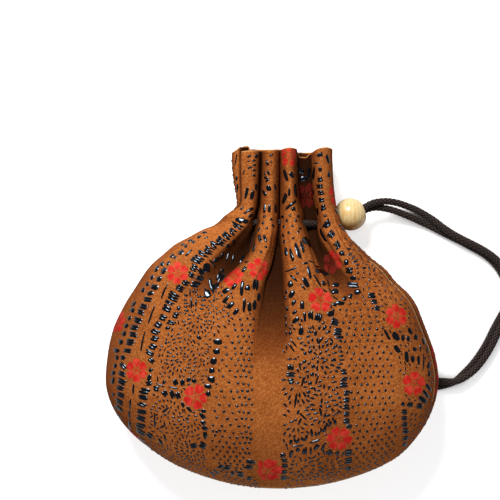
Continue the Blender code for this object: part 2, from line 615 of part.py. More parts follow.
def add_knot(finish, collection, cutters):
    """The two ends tied in one knot, with their short tails."""
    radius, half = KNOT_DIAMETER / 2, KNOT_LENGTH / 2
    profile = [(radius * math.sin(turn) ** KNOT_FULLNESS, half * math.cos(turn))
               for turn in np.linspace(0, math.pi, KNOT_ROWS)]
    profile[0], profile[-1] = (0, half), (0, -half)
    knot = turned("end_knot", profile, False, KNOT_STEPS, finish, collection)
    knot.location = KNOT_PLACE
    knot.rotation_euler = (0, math.pi / 2, 0)
    for sign in (1, -1):
        tail = bpy.data.meshes.new("tail")
        mesh = bmesh.new()
        bmesh.ops.create_cone(mesh, cap_ends=True, segments=TAIL_STEPS, radius1=CORD_RADIUS,
                              radius2=CORD_RADIUS, depth=TAIL_LENGTH + half)
        mesh.to_mesh(tail)
        mesh.free()
        part = bpy.data.objects.new("tail", tail)
        cutters.objects.link(part)
        part.hide_render = True
        part.display_type = "WIRE"
        reach = (TAIL_LENGTH + half) / 2
        part.location = KNOT_PLACE + Vector((-reach, sign * CORD_DIAMETER * TAIL_SPREAD_SHARE,
                                             CORD_DIAMETER * TAIL_HEIGHT_SHARE - radius))
        part.rotation_euler = (0, math.pi / 2, 0)
        join = knot.modifiers.new("tail", "BOOLEAN")
        join.operation = "UNION"
        join.object = part
        join.solver = "EXACT"
    return knot


def main():
    for old in list(bpy.data.objects):
        bpy.data.objects.remove(old)
    parts = bpy.data.collections.new("leather_drawstring_pouch")
    cutters = bpy.data.collections.new("cutters")
    for collection in (parts, cutters):
        bpy.context.scene.collection.children.link(collection)

    leather = material("tan_leather", (0.44, 0.12, 0.022), 0.62)
    lining = material("brown_lining", (0.09, 0.03, 0.018), 0.85)
    cord = material("dark_braided_cord", (0.025, 0.014, 0.011), 0.8)
    wood = material("pale_wood", (0.87, 0.68, 0.36), 0.25)

    lining_inset = LEATHER_THICKNESS + FIT_GAP
    panels = [add_shell(name, front, RIM_LEVEL_SHARE, 0, LEATHER_THICKNESS, leather, parts)
              for name, front in (("front_panel", True), ("back_panel", False))]
    for name, front in (("front_lining", True), ("back_lining", False)):
        add_shell(name, front, LINING_TOP_SHARE, lining_inset, LINING_THICKNESS, lining, parts)

    route = smooth_points(neck_points(), NECK_STEP)
    add_cord("neck_cord", route, cord, parts)
    add_cord("cord_strand_a", smooth_points(strand_points(1), STRAND_STEP), cord, parts)
    add_cord("cord_strand_b", smooth_points(strand_points(-1), STRAND_STEP), cord, parts)
    add_bead(wood, parts)
    add_knot(cord, parts, cutters)

    past_end = bead_axis() * CORD_DIAMETER
    turn = route.index(min(route, key=lambda point: point.x))
    runs = {"front_holes": [route[0] + past_end, *route[:turn + 1]],
            "back_holes": [*route[turn:], route[-1] + past_end]}
    for name, points in runs.items():
        cutter = add_hole_cutter(name, points, cutters)
        for panel in panels:
            cut(panel, cutter)


main()
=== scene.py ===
# Leather drawstring pouch lying on its back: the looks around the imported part.
# Lengths are in metres, +Z is up and the mouth points towards +Y.
import itertools
import math
import random

import bpy
import numpy as np
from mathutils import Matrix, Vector, kdtree, noise


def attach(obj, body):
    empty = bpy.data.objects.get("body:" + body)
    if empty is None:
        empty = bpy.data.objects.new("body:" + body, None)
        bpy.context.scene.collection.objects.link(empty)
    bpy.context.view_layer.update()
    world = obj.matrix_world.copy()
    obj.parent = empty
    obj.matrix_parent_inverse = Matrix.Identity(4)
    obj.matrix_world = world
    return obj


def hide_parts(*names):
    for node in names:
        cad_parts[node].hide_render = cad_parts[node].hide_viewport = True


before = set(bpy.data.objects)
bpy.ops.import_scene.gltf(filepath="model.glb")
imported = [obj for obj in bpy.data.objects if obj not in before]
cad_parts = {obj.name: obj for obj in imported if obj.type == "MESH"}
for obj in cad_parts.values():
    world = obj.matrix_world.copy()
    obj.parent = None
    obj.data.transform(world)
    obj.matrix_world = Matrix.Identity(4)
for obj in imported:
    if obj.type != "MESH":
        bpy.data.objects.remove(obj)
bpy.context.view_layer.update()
shaker = random.Random(7)

# ---- sizes shared with the solids
pouch = {
    "halfWidth": 0.0714, "bellyToBase": 0.0473, "bellyToMouth": 0.0980, "baseLean": 0.0034,
    "bellyTop": 0.0445, "bellyEquator": 0.0180, "bellyPress": 0.0015,
    "neckTop": 0.0270, "neckEquator": 0.0165, "neckUnderside": 0.0026,
    "leatherThickness": 0.0014, "liningThickness": 0.0005, "fitGap": 0.0003,
    "seamLand": 0.0012, "seamRise": 0.75, "seamBite": 8, "frontFold": 0.0080, "backFold": 0.0062,
    "rimStart": 0.7, "liningTop": 0.645,
    "columns": {"outer": 62, "fold": 34, "floor": 20}, "rows": 168, "baseRows": 92,
}
bead = {"place": Vector((0.0340, 0.0443, 0.0100)), "diameter": 0.0140, "bore": 0.0070, "lip": 0.0005,
        "turn": math.radians(21.5), "dip": math.radians(10), "seat": 0.0004, "travel": 0.0050}

leftOutline = (
    (0, -1), (0.105, -0.988), (0.21, -0.958), (0.316, -0.892), (0.395, -0.825),
    (0.491, -0.735), (0.542, -0.657), (0.588, -0.581), (0.618, -0.504), (0.654, -0.412),
    (0.671, -0.35), (0.715, -0.283), (0.763, -0.215), (0.868, -0.232), (1, -0.242))
rightOutline = (
    (0, 1), (0.105, 0.982), (0.21, 0.934), (0.316, 0.873), (0.368, 0.825), (0.421, 0.747),
    (0.474, 0.687), (0.526, 0.596), (0.579, 0.518), (0.618, 0.466), (0.65, 0.437),
    (0.7, 0.41), (0.763, 0.386), (0.868, 0.37), (1, 0.362))
leftSeamInset = ((0, 0), (0.7, 0), (0.78, 0.03), (0.868, 0.045), (1, 0.055))
rightSeamInset = ((0, 0.024), (0.2, 0.034), (0.45, 0.03), (0.58, 0.01), (0.65, 0), (1, 0))
neckChange = ((0, 0), (0.254, 0.02), (0.386, 0.12), (0.51, 0.32), (0.605, 0.6), (0.68, 0.87),
              (0.763, 1), (1, 1))
undersideChange = ((0, 0), (0.3, 0.08), (0.45, 0.25), (0.55, 0.5), (0.65, 0.82), (0.763, 1), (1, 1))
roundness = ((0, 0.85), (0.4, 0.8), (0.6, 0.62), (0.7, 0.5), (1, 0.5))

frontCrests = (
    ((0, -0.675), (0.167, -0.687), (0.342, -0.645), (0.43, -0.554), (0.487, -0.476), (0.539, -0.428),
     (0.583, -0.355), (0.627, -0.283), (0.675, -0.199), (0.715, -0.157), (0.763, -0.135), (1, -0.133)),
    ((0, -0.217), (0.254, -0.211), (0.386, -0.175), (0.447, -0.133), (0.53, -0.084), (0.583, -0.048),
     (0.684, -0.024), (1, -0.009)),
    ((0, 0.241), (0.167, 0.241), (0.35, 0.217), (0.425, 0.187), (0.491, 0.151), (0.575, 0.127),
     (0.71, 0.117), (1, 0.102)),
    ((0, 0.741), (0.254, 0.681), (0.386, 0.602), (0.47, 0.506), (0.548, 0.428), (0.588, 0.398),
     (0.632, 0.367), (0.675, 0.343), (0.715, 0.325), (0.8, 0.313), (1, 0.301)))
frontValleys = (
    {"line": ((0, -0.434), (0.254, -0.404), (0.386, -0.349), (0.447, -0.277), (0.491, -0.217),
              (0.535, -0.163), (0.583, -0.132), (0.627, -0.114), (0.671, -0.103), (0.715, -0.093),
              (0.763, -0.078), (1, -0.066)),
     "depth": ((0, 0), (0.254, 0.08), (0.34, 0.22), (0.386, 0.38), (0.447, 0.72), (0.52, 1.12),
               (0.575, 1.28), (0.625, 1.22), (0.68, 1), (0.763, 0.95), (1, 0.9)),
     "floor": ((0, 0), (1, 0)),
     "softLeft": ((0, 1), (0.5, 1), (0.6, 0.6), (0.7, 0), (1, 0)),
     "softRight": ((0, 1), (0.32, 1), (0.42, 0.3), (0.5, 0), (1, 0))},
    {"line": ((0, -0.014), (0.146, -0.009), (0.234, -0.003), (0.343, 0.006), (0.431, 0.015),
              (0.51, 0.03), (0.606, 0.036), (0.66, 0.042), (0.715, 0.044), (1, 0.048)),
     "depth": ((0, 0), (0.1, 0.08), (0.17, 0.17), (0.254, 0.33), (0.34, 0.5), (0.42, 0.7),
               (0.5, 0.95), (0.575, 1.05), (0.68, 1), (1, 0.95)),
     "floor": ((0, 0.09), (0.146, 0.083), (0.234, 0.077), (0.343, 0.062), (0.431, 0.047),
               (0.51, 0.027), (0.6, 0.012), (0.68, 0), (1, 0)),
     "softLeft": ((0, 1), (0.15, 0.9), (0.3, 0.5), (0.42, 0.15), (0.5, 0), (1, 0)),
     "softRight": ((0, 1), (0.15, 0.8), (0.28, 0.3), (0.4, 0), (1, 0))},
    {"line": ((0, 0.482), (0.167, 0.47), (0.342, 0.416), (0.417, 0.367), (0.474, 0.319), (0.53, 0.283),
              (0.575, 0.259), (0.671, 0.235), (0.715, 0.229), (0.8, 0.205), (1, 0.193)),
     "depth": ((0, 0), (0.254, 0.08), (0.342, 0.22), (0.417, 0.5), (0.474, 0.82), (0.53, 1.12),
               (0.575, 1.3), (0.66, 1.35), (0.763, 1.25), (1, 1)),
     "floor": ((0, 0.06), (0.3, 0.05), (0.47, 0.03), (0.53, 0.026), (0.605, 0.03), (0.7, 0.036), (1, 0.038)),
     "softLeft": ((0, 1), (0.3, 1), (0.42, 0.35), (0.5, 0), (1, 0)),
     "softRight": ((0, 1), (0.52, 1), (0.62, 0.3), (0.7, 0), (1, 0))})
frontRim = ((-0.2, -0.012), (-0.13, -0.009), (0.04, -0.004), (0.1, 0.004), (0.15, 0),
            (0.163, -0.034), (0.205, -0.036), (0.225, -0.022), (0.25, -0.008), (0.28, 0.001),
            (0.33, 0.006), (0.365, 0.001), (0.4, -0.004))
backCrests = (
    ((0, -0.62), (0.35, -0.6), (0.5, -0.46), (0.62, -0.3), (0.7, -0.2), (0.78, -0.17), (1, -0.18)),
    ((0, -0.2), (0.4, -0.17), (0.6, -0.08), (0.7, -0.045), (1, -0.04)),
    ((0, 0.25), (0.4, 0.22), (0.6, 0.12), (0.7, 0.1), (1, 0.1)),
    ((0, 0.66), (0.35, 0.6), (0.5, 0.46), (0.62, 0.33), (0.7, 0.29), (1, 0.27)))
backValleys = (
    {"line": ((0, -0.4), (0.4, -0.36), (0.55, -0.25), (0.65, -0.14), (0.72, -0.11), (1, -0.11)),
     "depth": ((0, 0), (0.3, 0), (0.45, 0.25), (0.58, 0.8), (0.68, 1), (1, 0.95)),
     "floor": ((0, 0), (1, 0)),
     "softLeft": ((0, 1), (0.58, 1), (0.7, 0), (1, 0)),
     "softRight": ((0, 1), (0.5, 1), (0.64, 0), (1, 0))},
    {"line": ((0, 0.02), (0.4, 0.02), (0.6, 0.025), (0.7, 0.03), (1, 0.03)),
     "depth": ((0, 0), (0.35, 0.05), (0.5, 0.5), (0.6, 0.9), (0.68, 1), (1, 0.95)),
     "floor": ((0, 0), (1, 0)),
     "softLeft": ((0, 1), (0.48, 1), (0.62, 0), (1, 0)),
     "softRight": ((0, 1), (0.48, 1), (0.62, 0), (1, 0))},
    {"line": ((0, 0.46), (0.4, 0.4), (0.55, 0.27), (0.65, 0.19), (0.72, 0.175), (1, 0.17)),
     "depth": ((0, 0), (0.3, 0), (0.45, 0.3), (0.58, 0.85), (0.68, 1), (1, 0.95)),
     "floor": ((0, 0), (1, 0)),
     "softLeft": ((0, 1), (0.5, 1), (0.64, 0), (1, 0)),
     "softRight": ((0, 1), (0.55, 1), (0.68, 0), (1, 0))})
backRim = ((-0.25, -0.014), (-0.22, -0.005), (-0.165, 0.018), (-0.14, 0.017), (-0.125, 0.002),
           (0.1, 0.002), (0.16, -0.012), (0.25, -0.01), (0.3, 0.002), (0.4, 0.002))
rimLift = max(lift for _, lift in frontRim + backRim)
bellyY = (pouch["bellyToBase"] - pouch["bellyToMouth"] * (1 + rimLift)) / 2

# ---- camera: straight above, as far as a long lens needs
view = {"height": 1.25, "picture": 500, "pixel": 0.00043, "middle": (272, 317.15), "level": 0.018,
        "sensor": 36, "farthest": 10}


def fromPicture(px, py):
    # a place on the picture, as metres across and along
    return ((px - view["middle"][0]) * view["pixel"], (view["middle"][1] - py) * view["pixel"])


def addObject(name, data):
    made = bpy.data.objects.new(name, data)
    bpy.context.scene.collection.objects.link(made)
    return made


def makeCamera():
    lens = bpy.data.cameras.new("studioCamera")
    seen = view["picture"] * view["pixel"]
    lens.sensor_width = view["sensor"]
    lens.lens = view["sensor"] * (view["height"] - view["level"]) / seen
    lens.clip_end = view["farthest"]
    camera = addObject("studioCamera", lens)
    camera.location = (*fromPicture(view["picture"] / 2, view["picture"] / 2), view["height"])
    bpy.context.scene.camera = camera


makeCamera()
print("camera made")


# ---- curves and sums used throughout
def mix(first, second, share):
    return first + (second - first) * share


def eased(value, start, reach):
    # 0 up to start, then evenly to 1 over reach; a negative reach falls back instead
    return np.clip((value - start) / reach, 0, 1)


def ramp(pairs, place):
    # smooth curve through (place, value) pairs that never overshoots them
    places, values = np.array(pairs, float).T
    steps = np.diff(places)
    slopes = np.diff(values) / steps
    before, after = slopes[:-1], slopes[1:]
    level = before * after > 0
    tangents = np.zeros_like(values)
    tangents[1:-1][level] = 2 * before[level] * after[level] / (before + after)[level]
    index = np.clip(np.searchsorted(places, place, side="right") - 1, 0, len(steps) - 1)
    t = np.clip((place - places[index]) / steps[index], 0, 1)
    start = values[index] * (1 + 2 * t) * (1 - t) ** 2 + steps[index] * tangents[index] * t * (1 - t) ** 2
    end = values[index + 1] * t * t * (3 - 2 * t) - steps[index] * tangents[index + 1] * t * t * (1 - t)
    return start + end


def runLengths(points):
    # how far each point lies from the first, along the points
    return np.concatenate([[0], np.cumsum(np.linalg.norm(np.diff(points, axis=0), axis=1))])


def splined(points, count):
    # a smooth curve through the given points, with so many steps from each to the next
    route = [np.array(point, float) for point in points]
    route = [2 * route[0] - route[1], *route, 2 * route[-1] - route[-2]]
    fine = []
    for before, start, end, after in zip(route, route[1:], route[2:], route[3:]):
        for t in np.arange(count) / count:
            fine.append(0.5 * (2 * start + (end - before) * t
                               + (2 * before - 5 * start + 4 * end - after) * t ** 2
                               + (3 * start - before - 3 * end + after) * t ** 3))
    return np.array(fine + [route[-2]])


# ---- shader words
class Wire:
    # a node's output that takes part in sums; each sum adds the node that it needs
    def __init__(self, tree, socket=None):
        self.tree, self.socket = tree, socket

    def node(self, kind, settings=None, sockets=None, output=0):
        made = self.tree.nodes.new(kind)
        for name, value in (settings or {}).items():
            setattr(made, name, value)
        for name, value in (sockets or {}).items():
            if isinstance(value, Wire):
                self.tree.links.new(value.socket, made.inputs[name])
            else:
                made.inputs[name].default_value = value
        return Wire(self.tree, made.outputs[output])

    def sum(self, operation, *values):
        return self.node("ShaderNodeMath", {"operation": operation}, dict(enumerate(values)))

    def __add__(self, other):
        return self.sum("ADD", self, other)

    def __mul__(self, other):
        return self.sum("MULTIPLY", self, other)

    __radd__ = __add__
    __rmul__ = __mul__

    def within(self, start, full):
        # 0 at start, 1 at full, smooth between them; full may be the lower of the two
        return self.node("ShaderNodeMapRange", {"interpolation_type": "SMOOTHSTEP"},
                         {"Value": self, "From Min": start, "From Max": full})

    def tint(self, first, second):
        # a colour from first to second as this value goes from 0 to 1; 6 and 7 are the colour sockets
        return self.node("ShaderNodeMix", {"data_type": "RGBA"}, {
            "Factor": self, 6: first if isinstance(first, Wire) else (*first, 1),
            7: second if isinstance(second, Wire) else (*second, 1)}, 2)

    def scaled(self, size):
        # a place stretched by three factors
        return self.node("ShaderNodeVectorMath", {"operation": "MULTIPLY"}, {0: self, 1: size})

    def bumps(self, strength, distance, normal=None):
        sockets = {"Height": self, "Strength": strength, "Distance": distance}
        if normal:
            sockets["Normal"] = normal
        return self.node("ShaderNodeBump", {}, sockets)


class Finish:
    # a principled material; uniform values are set on their own sockets, varied ones are fed
    def __init__(self, name, **fixed):
        self.material = bpy.data.materials.new(name)
        self.material.use_nodes = True
        self.tree = self.material.node_tree
        self.shader = self.tree.nodes["Principled BSDF"]
        for socket, value in fixed.items():
            self.shader.inputs[socket.replace("_", " ")].default_value = value
        self.paint = Wire(self.tree)
        self.place = self.paint.node("ShaderNodeTexCoord", output=3)  # 3 is the object's own place

    def grain(self, scale, detail=3.0, rough=0.5, place=None):
        return self.paint.node("ShaderNodeTexNoise", {}, {
            "Vector": place or self.place, "Scale": scale, "Detail": detail, "Roughness": rough})

    def grains(self, look, place=None):
        # the noises of a look by name, each given as scale, detail and roughness
        return {name: self.grain(*values, place) for name, values in look["grains"].items()}

    def bands(self, direction, scale, distortion, **more):
        return self.paint.node(
            "ShaderNodeTexWave", {"wave_type": "BANDS", "bands_direction": direction},
            {"Vector": self.place, "Scale": scale, "Distortion": distortion, **more})

    def layered(self, tone, sources, look):
        # tones laid over one another: source, where it starts, where it is full, strength, colour
        for name, start, full, strength, colour in look["layers"]:
            tone = (sources[name].within(start, full) * strength).tint(tone, look[colour])
        return tone

    def stored(self, name):
        # a value kept on the mesh for each of its points; 2 is its plain number
        return self.paint.node("ShaderNodeAttribute", {"attribute_name": name}, output=2)

    def feed(self, socket, wire):
        self.tree.links.new(wire.socket, self.shader.inputs[socket])

    def roughen(self, wire, look):
        # the least roughness, and how much a noise adds to it
        least, more = look["rough"]
        self.feed("Roughness", least + wire * more)


def addPiece(name, vertices, faces, materials, body="pouch", indices=None, values=None):
    data = bpy.data.meshes.new(name)
    data.from_pydata(np.asarray(vertices, float).tolist(), [], faces)
    for material in materials:
        data.materials.append(material)
    if indices is not None:
        data.polygons.foreach_set("material_index", np.asarray(indices, np.int32))
    for key, points in (values or {}).items():
        layer = data.attributes.new(key, "FLOAT", "POINT")
        layer.data.foreach_set("value", np.asarray(points, np.float32))
    data.shade_smooth()
    data.update()
    piece = addObject(name, data)
    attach(piece, body)
    return piece


# ---- cord: one braid laced through the neck, its two ends through the bead to a knot
cord = {"diameter": 0.0029, "spacing": 0.0032, "clearance": 0.0003, "yarns": 6, "relief": 0.00056,
        "braidStep": 0.00200, "sides": 40, "ringStep": 0.00024, "fullness": 0.00014,
        "yarnSide": 0.6, "yarnEnd": 0.3,  # how soon a yarn is full, from its sides and from its ends
        # painted shade and highlight: the braid is near black in the gaps between its yarns and brown only on
        # their crests
        "dark": (0.0026, 0.0012, 0.0010), "light": (0.115, 0.058, 0.042),
        "endRaised": 0.5, "curveSteps": 16,
        "fibres": (5200, 2, 0.6), "fibresFrom": 0.35, "fibresFull": 0.7, "fibreShare": 0.25,
        "yarnShare": 0.95, "darkBelow": 0.66, "lightAbove": 1.20, "bumps": (0.45, 0.00012)}
frontRun = (
    (0.0222, 0.0402, 0.0147), (0.0206, 0.0399, 0.0166), (0.0190, 0.0399, 0.0185), (0.0170, 0.0400, 0.0201),
    (0.0145, 0.0402, 0.0213), (0.0118, 0.0405, 0.0221), (0.0085, 0.0406, 0.0224), (0.0035, 0.0406, 0.0225),
    (-0.0015, 0.0406, 0.0225), (-0.0065, 0.0406, 0.0225), (-0.0110, 0.0405, 0.0222))
leftTurn = ((-0.0148, 0.0403, 0.0207), (-0.0175, 0.0401, 0.0178), (-0.0184, 0.0400, 0.0144),
            (-0.0175, 0.0401, 0.0110), (-0.0148, 0.0403, 0.0082))
backRun = ((-0.0110, 0.0405, 0.0068), (-0.0060, 0.0406, 0.0064), (0.0000, 0.0406, 0.0064),
           (0.0060, 0.0406, 0.0064), (0.0115, 0.0405, 0.0066), (0.0158, 0.0401, 0.0077),
           (0.0195, 0.0397, 0.0096))
pairRoute = (
    # the middle of the two strands, how far they are turned about each other, half their distance
    (0.0488, 0.0485, 0.0070, 28, 0.00170), (0.0533, 0.0478, 0.0057, 12, 0.00180),
    (0.0575, 0.0464, 0.0044, 4, 0.00190), (0.0620, 0.0446, 0.0032, 2, 0.00190),
    (0.0662, 0.0425, 0.0024, 12, 0.00176), (0.0700, 0.0404, 0.0024, 30, 0.00164),
    (0.0739, 0.0379, 0.0028, 52, 0.00160), (0.0785, 0.0352, 0.0030, 66, 0.00160),
    (0.0832, 0.0328, 0.0031, 70, 0.00160), (0.0878, 0.0304, 0.0030, 66, 0.00160),
    (0.0918, 0.0282, 0.0031, 66, 0.00160), (0.0953, 0.0258, 0.0031, 62, 0.00160),
    (0.0984, 0.0228, 0.0030, 58, 0.00160), (0.1012, 0.0186, 0.0029, 54, 0.00160),
    (0.1034, 0.0134, 0.0029, 52, 0.00160), (0.1039, 0.0077, 0.0029, 50, 0.00160),
    (0.1026, 0.0030, 0.0029, 50, 0.00160), (0.1004, -0.0010, 0.0028, 48, 0.00160),
    (0.0976, -0.0062, 0.0028, 46, 0.00160), (0.0949, -0.0118, 0.0028, 43, 0.00160),
    (0.0918, -0.0170, 0.0027, 42, 0.00160), (0.0882, -0.0217, 0.0028, 46, 0.00160),
    (0.0841, -0.0255, 0.0030, 62, 0.00160), (0.0798, -0.0283, 0.0031, 92, 0.00160),
    (0.0755, -0.0291, 0.0030, 122, 0.00160), (0.0720, -0.0294, 0.0029, 142, 0.00160))
boreTwist = (76, 70, 52)


def beadAxis():
    level = math.cos(bead["dip"])
    return Vector((math.cos(bead["turn"]) * level, math.sin(bead["turn"]) * level, -math.sin(bead["dip"])))


def pairOffset(direction, degrees, halfGap):
    side = Vector((-direction.y, direction.x, 0)).normalized()
    up = direction.cross(side).normalized()
    turn = math.radians(degrees)
    return halfGap * (math.cos(turn) * side + math.sin(turn) * up)


def neckPoints():
    along = beadAxis()
    start = bead["diameter"] / 2 + bead["seat"] + pouch["leatherThickness"] / 2 + cord["clearance"] / 2
    offset = pairOffset(along, boreTwist[0], cord["spacing"] / 2)
    ends = [[bead["place"] - along * reach + sign * offset for reach in (start, start + cord["diameter"])]
            for sign in (1, -1)]
    return [*ends[0], *frontRun, *leftTurn, *backRun, *ends[1][::-1]]


def strandPoints(sign):
    along = beadAxis()
    mouth = math.sqrt((bead["diameter"] / 2) ** 2 - (bead["bore"] / 2) ** 2)
    start = bead["diameter"] / 2 + bead["seat"] + pouch["leatherThickness"] / 2 - cord["clearance"] / 2
    reaches = (-start, 0, mouth, mouth + bead["travel"])
    twists = (boreTwist[0], boreTwist[0], *boreTwist[1:])
    points = [bead["place"] + along * reach + sign * pairOffset(along, twist, cord["spacing"] / 2)
              for reach, twist in zip(reaches, twists)]
    middles = [bead["place"] + along * reaches[-1], *(Vector(row[:3]) for row in pairRoute)]
    end = knot["place"] + Vector((knot["length"] / 2 + cord["clearance"], 0,
                                  pairRoute[-1][2] - knot["place"].z))
    middles.append(end)
    for index, row in enumerate(pairRoute, 1):
        direction = (middles[index + 1] - middles[index - 1]).normalized()
        points.append(middles[index] + sign * pairOffset(direction, *row[3:]))
    points.append(end + sign * pairOffset(Vector((-1, 0, 0)), *pairRoute[-1][3:]))
    return points


def smoothRoute(points, step):
    # points one step apart on a smooth curve through the given points, and its length
    fine = splined(points, cord["curveSteps"])
    lengths = runLengths(fine)
    wanted = np.linspace(0, lengths[-1], max(round(lengths[-1] / step), 2) + 1)
    return np.stack([np.interp(wanted, lengths, fine[:, axis]) for axis in range(3)], axis=1), lengths[-1]


def carried(route):
    # two side directions that turn as little as they can along a route
    tangents = np.gradient(route, axis=0)
    tangents /= np.linalg.norm(tangents, axis=1, keepdims=True)
    side = np.cross(tangents[0], (0, 0, 1.0))
    sides = []
    for tangent in tangents:
        side = side - tangent * (side @ tangent)
        side /= np.linalg.norm(side)
        sides.append(side)
    sides = np.array(sides)
    return sides, np.cross(tangents, sides)


def braided(route, radius=None):
    # a tube of crossing yarns round a route, closed at both ends
    radius = radius or cord["diameter"] / 2 + cord["fullness"]
    count, sides = len(route), cord["sides"]
    first, second = carried(route)
    length = np.arange(count)[:, None] * np.linalg.norm(route[1] - route[0])
    turns = np.arange(sides)[None, :] * 2 * math.pi / sides
    half = cord["yarns"] / 2
    one = (half * turns / math.pi + length / cord["braidStep"]) % 2
    two = (half * turns / math.pi - length / cord["braidStep"]) % 2
    acrossOne, acrossTwo = np.sin(math.pi * (one % 1)), np.sin(math.pi * (two % 1))
    over = (one.astype(int) + two.astype(int)) % 2 == 0
    bump = np.where(over, acrossOne ** cord["yarnSide"] * acrossTwo ** cord["yarnEnd"],
                    acrossTwo ** cord["yarnSide"] * acrossOne ** cord["yarnEnd"])
    reach = radius - cord["relief"] * (1 - bump)
    points = (route[:, None] + first[:, None] * (reach * np.cos(turns))[..., None]
              + second[:, None] * (reach * np.sin(turns))[..., None])
    vertices = list(points.reshape(-1, 3)) + [route[0], route[-1]]
    around, end = [(side, (side + 1) % sides) for side in range(sides)], count * sides
    faces = [(start + side, start + after, start + after + sides, start + side + sides)
             for start in range(0, end - sides, sides) for side, after in around]
    for side, after in around:
        faces += [(after, side, end), (end - sides + side, end - sides + after, end + 1)]
    return vertices, faces, np.concatenate([bump.reshape(-1), [cord["endRaised"]] * 2])


def cordFinish():
    finish = Finish("darkBraid", Roughness=0.72, Specular_IOR_Level=0.35, Sheen_Weight=0.15,
                    Sheen_Roughness=0.4)
    fibres = finish.grain(*cord["fibres"])
    # painted shade and highlight: dark in the braid's gaps, lighter on the yarn crests
    level = (finish.stored("raised") * cord["yarnShare"]
             + fibres.within(cord["fibresFrom"], cord["fibresFull"]) * cord["fibreShare"])
    level = level.within(cord["darkBelow"], cord["lightAbove"])
    finish.feed("Base Color", level.tint(cord["dark"], cord["light"]))
    finish.feed("Normal", fibres.bumps(*cord["bumps"]))
    return finish.material


def makeCord(name, node, points, finish):
    route, length = smoothRoute(points, cord["ringStep"])
    vertices, faces, raised = braided(route)
    piece = addPiece(name, vertices, faces, [finish], values={"raised": raised})
    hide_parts(node)
    print(name, "is", round(length, 4), "long")
    return piece, route, length


# ---- knot: both ends wound round each other and pulled tight, with two short frayed tails
knot = {"place": Vector((0.0662, -0.0294, 0.00345)), "length": 0.0060, "diameter": 0.0068,
        "wraps": 2.3, "wrapRadius": 0.0019, "cordRadius": 0.00140, "tuckShare": 0.12, "tuckedIn": 0.35,
        "lockRadius": 0.00205, "lockSway": 0.0011, "lockLean": 0.6, "lockCord": 0.00128,
        "tailFrom": 0.0008, "tailLength": 0.0040, "tailShare": 0.72, "tailTurn": 0.0002, "tailSink": 0.0001,
        "tailSpread": 0.55, "tailHeight": 0.6, "fibres": 70, "fibreRadius": 0.00006, "fibreRing": 0.85,
        "fibreLengths": (0.4, 1), "fibreShare": 0.26, "fibreStray": 0.0003, "fibreLowest": 0.00012,
        "fibreRaised": 0.6, "wrapSteps": 90, "lockSteps": 60, "lowest": 0.00006}


def makeKnot(finish):
    place = np.array(knot["place"])
    vertices, faces, raised = [], [], []

    def add(points, radius):
        piece = braided(smoothRoute(points, cord["ringStep"])[0], radius)
        start = len(vertices)
        vertices.extend(piece[0])
        faces.extend([tuple(start + corner for corner in face) for face in piece[1]])
        raised.extend(piece[2])

    half = knot["length"] / 2 - knot["cordRadius"]
    for phase in (0, math.pi):
        # each end climbs round the other and tucks in at both sides
        share = np.linspace(0, 1, knot["wrapSteps"])
        turns = phase + 2 * math.pi * knot["wraps"] / 2 * share
        tuck = np.clip(np.minimum(share, 1 - share) / knot["tuckShare"], 0, 1)
        reach = knot["wrapRadius"] * mix(knot["tuckedIn"], 1, np.sin(tuck * math.pi / 2))
        path = np.stack([half * (1 - 2 * share), reach * np.cos(turns), reach * np.sin(turns)], axis=1)
        add(place + path, knot["cordRadius"])
    # the turn that crosses over both and locks them
    turns = 2 * math.pi * np.linspace(0, 1, knot["lockSteps"])
    lock = np.stack([knot["lockSway"] * np.sin(turns + knot["lockLean"]), knot["lockRadius"] * np.cos(turns),
                     knot["lockRadius"] * np.sin(turns)], axis=1)
    add(place + lock, knot["lockCord"])
    for sign in (1, -1):
        start = place + np.array([0, sign * knot["tailFrom"], 0])
        middle = place + np.array([-knot["length"] / 2, sign * cord["diameter"] * knot["tailSpread"],
                                   cord["diameter"] * knot["tailHeight"] - knot["diameter"] / 2])
        end = middle + np.array([-knot["tailLength"] * knot["tailShare"], sign * knot["tailTurn"],
                                 -knot["tailSink"]])
        add((start, middle, end), knot["cordRadius"])
        for _ in range(knot["fibres"]):
            # loose fibre ends past the cut
            turn = shaker.uniform(0, 2 * math.pi)
            out = knot["cordRadius"] * shaker.random() ** 0.5 * knot["fibreRing"]
            root = end + np.array([0, out * math.cos(turn), out * math.sin(turn)])
            reach = shaker.uniform(*knot["fibreLengths"]) * knot["tailLength"] * knot["fibreShare"]
            stray = [shaker.uniform(-1, 1) * knot["fibreStray"] for _ in range(2)]
            tip = root + np.array([-reach, *stray])
            tip[2] = max(tip[2], knot["fibreLowest"])
            base = len(vertices)
            for aim in (corner * 2 * math.pi / 3 for corner in range(3)):
                vertices.append(root + knot["fibreRadius"] * np.array([0, math.cos(aim), math.sin(aim)]))
            vertices.append(tip)
            raised.extend([knot["fibreRaised"]] * 4)
            faces.extend([(base, base + 1, base + 3), (base + 1, base + 2, base + 3),
                          (base + 2, base, base + 3)])
    vertices = [np.array([x, y, max(z, knot["lowest"])]) for x, y, z in vertices]
    piece = addPiece("endKnot", vertices, faces, [finish], values={"raised": raised})
    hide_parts("end_knot")
    return piece


# ---- bead: pale lacquered wood, drilled, with eased mouths
beadLook = {"pale": (0.93, 0.73, 0.38), "gold": (0.79, 0.45, 0.115), "vein": (0.58, 0.28, 0.07),
            "grains": {"broad": (150, 3, 0.5), "fine": (900, 3, 0.6)}, "stretch": (3.6, 1.0, 1.0),
            "layers": (("bands", 0.30, 0.95, 0.40, "gold"), ("fine", 0.54, 0.74, 0.60, "vein")),
            # painted light and shade: the bead is painted golden below and pale above these places
            "paintedShadeBelow": 0.0062, "paintedLightAbove": 0.0012,  # both measured down from the bead's middle
            "broadFrom": 0.20, "broadFull": 0.50, "bandScale": 190.0, "bandBend": 5.0,
            "bandDetail": {"Detail": 2.0, "Detail Scale": 1.4}, "rough": (0.30, 0.16),
            "fineShare": 0.5, "bandShare": 0.5, "bumps": (0.12, 0.00008),
            "rows": 56, "steps": 96, "lipRows": 6, "boreRows": 8}


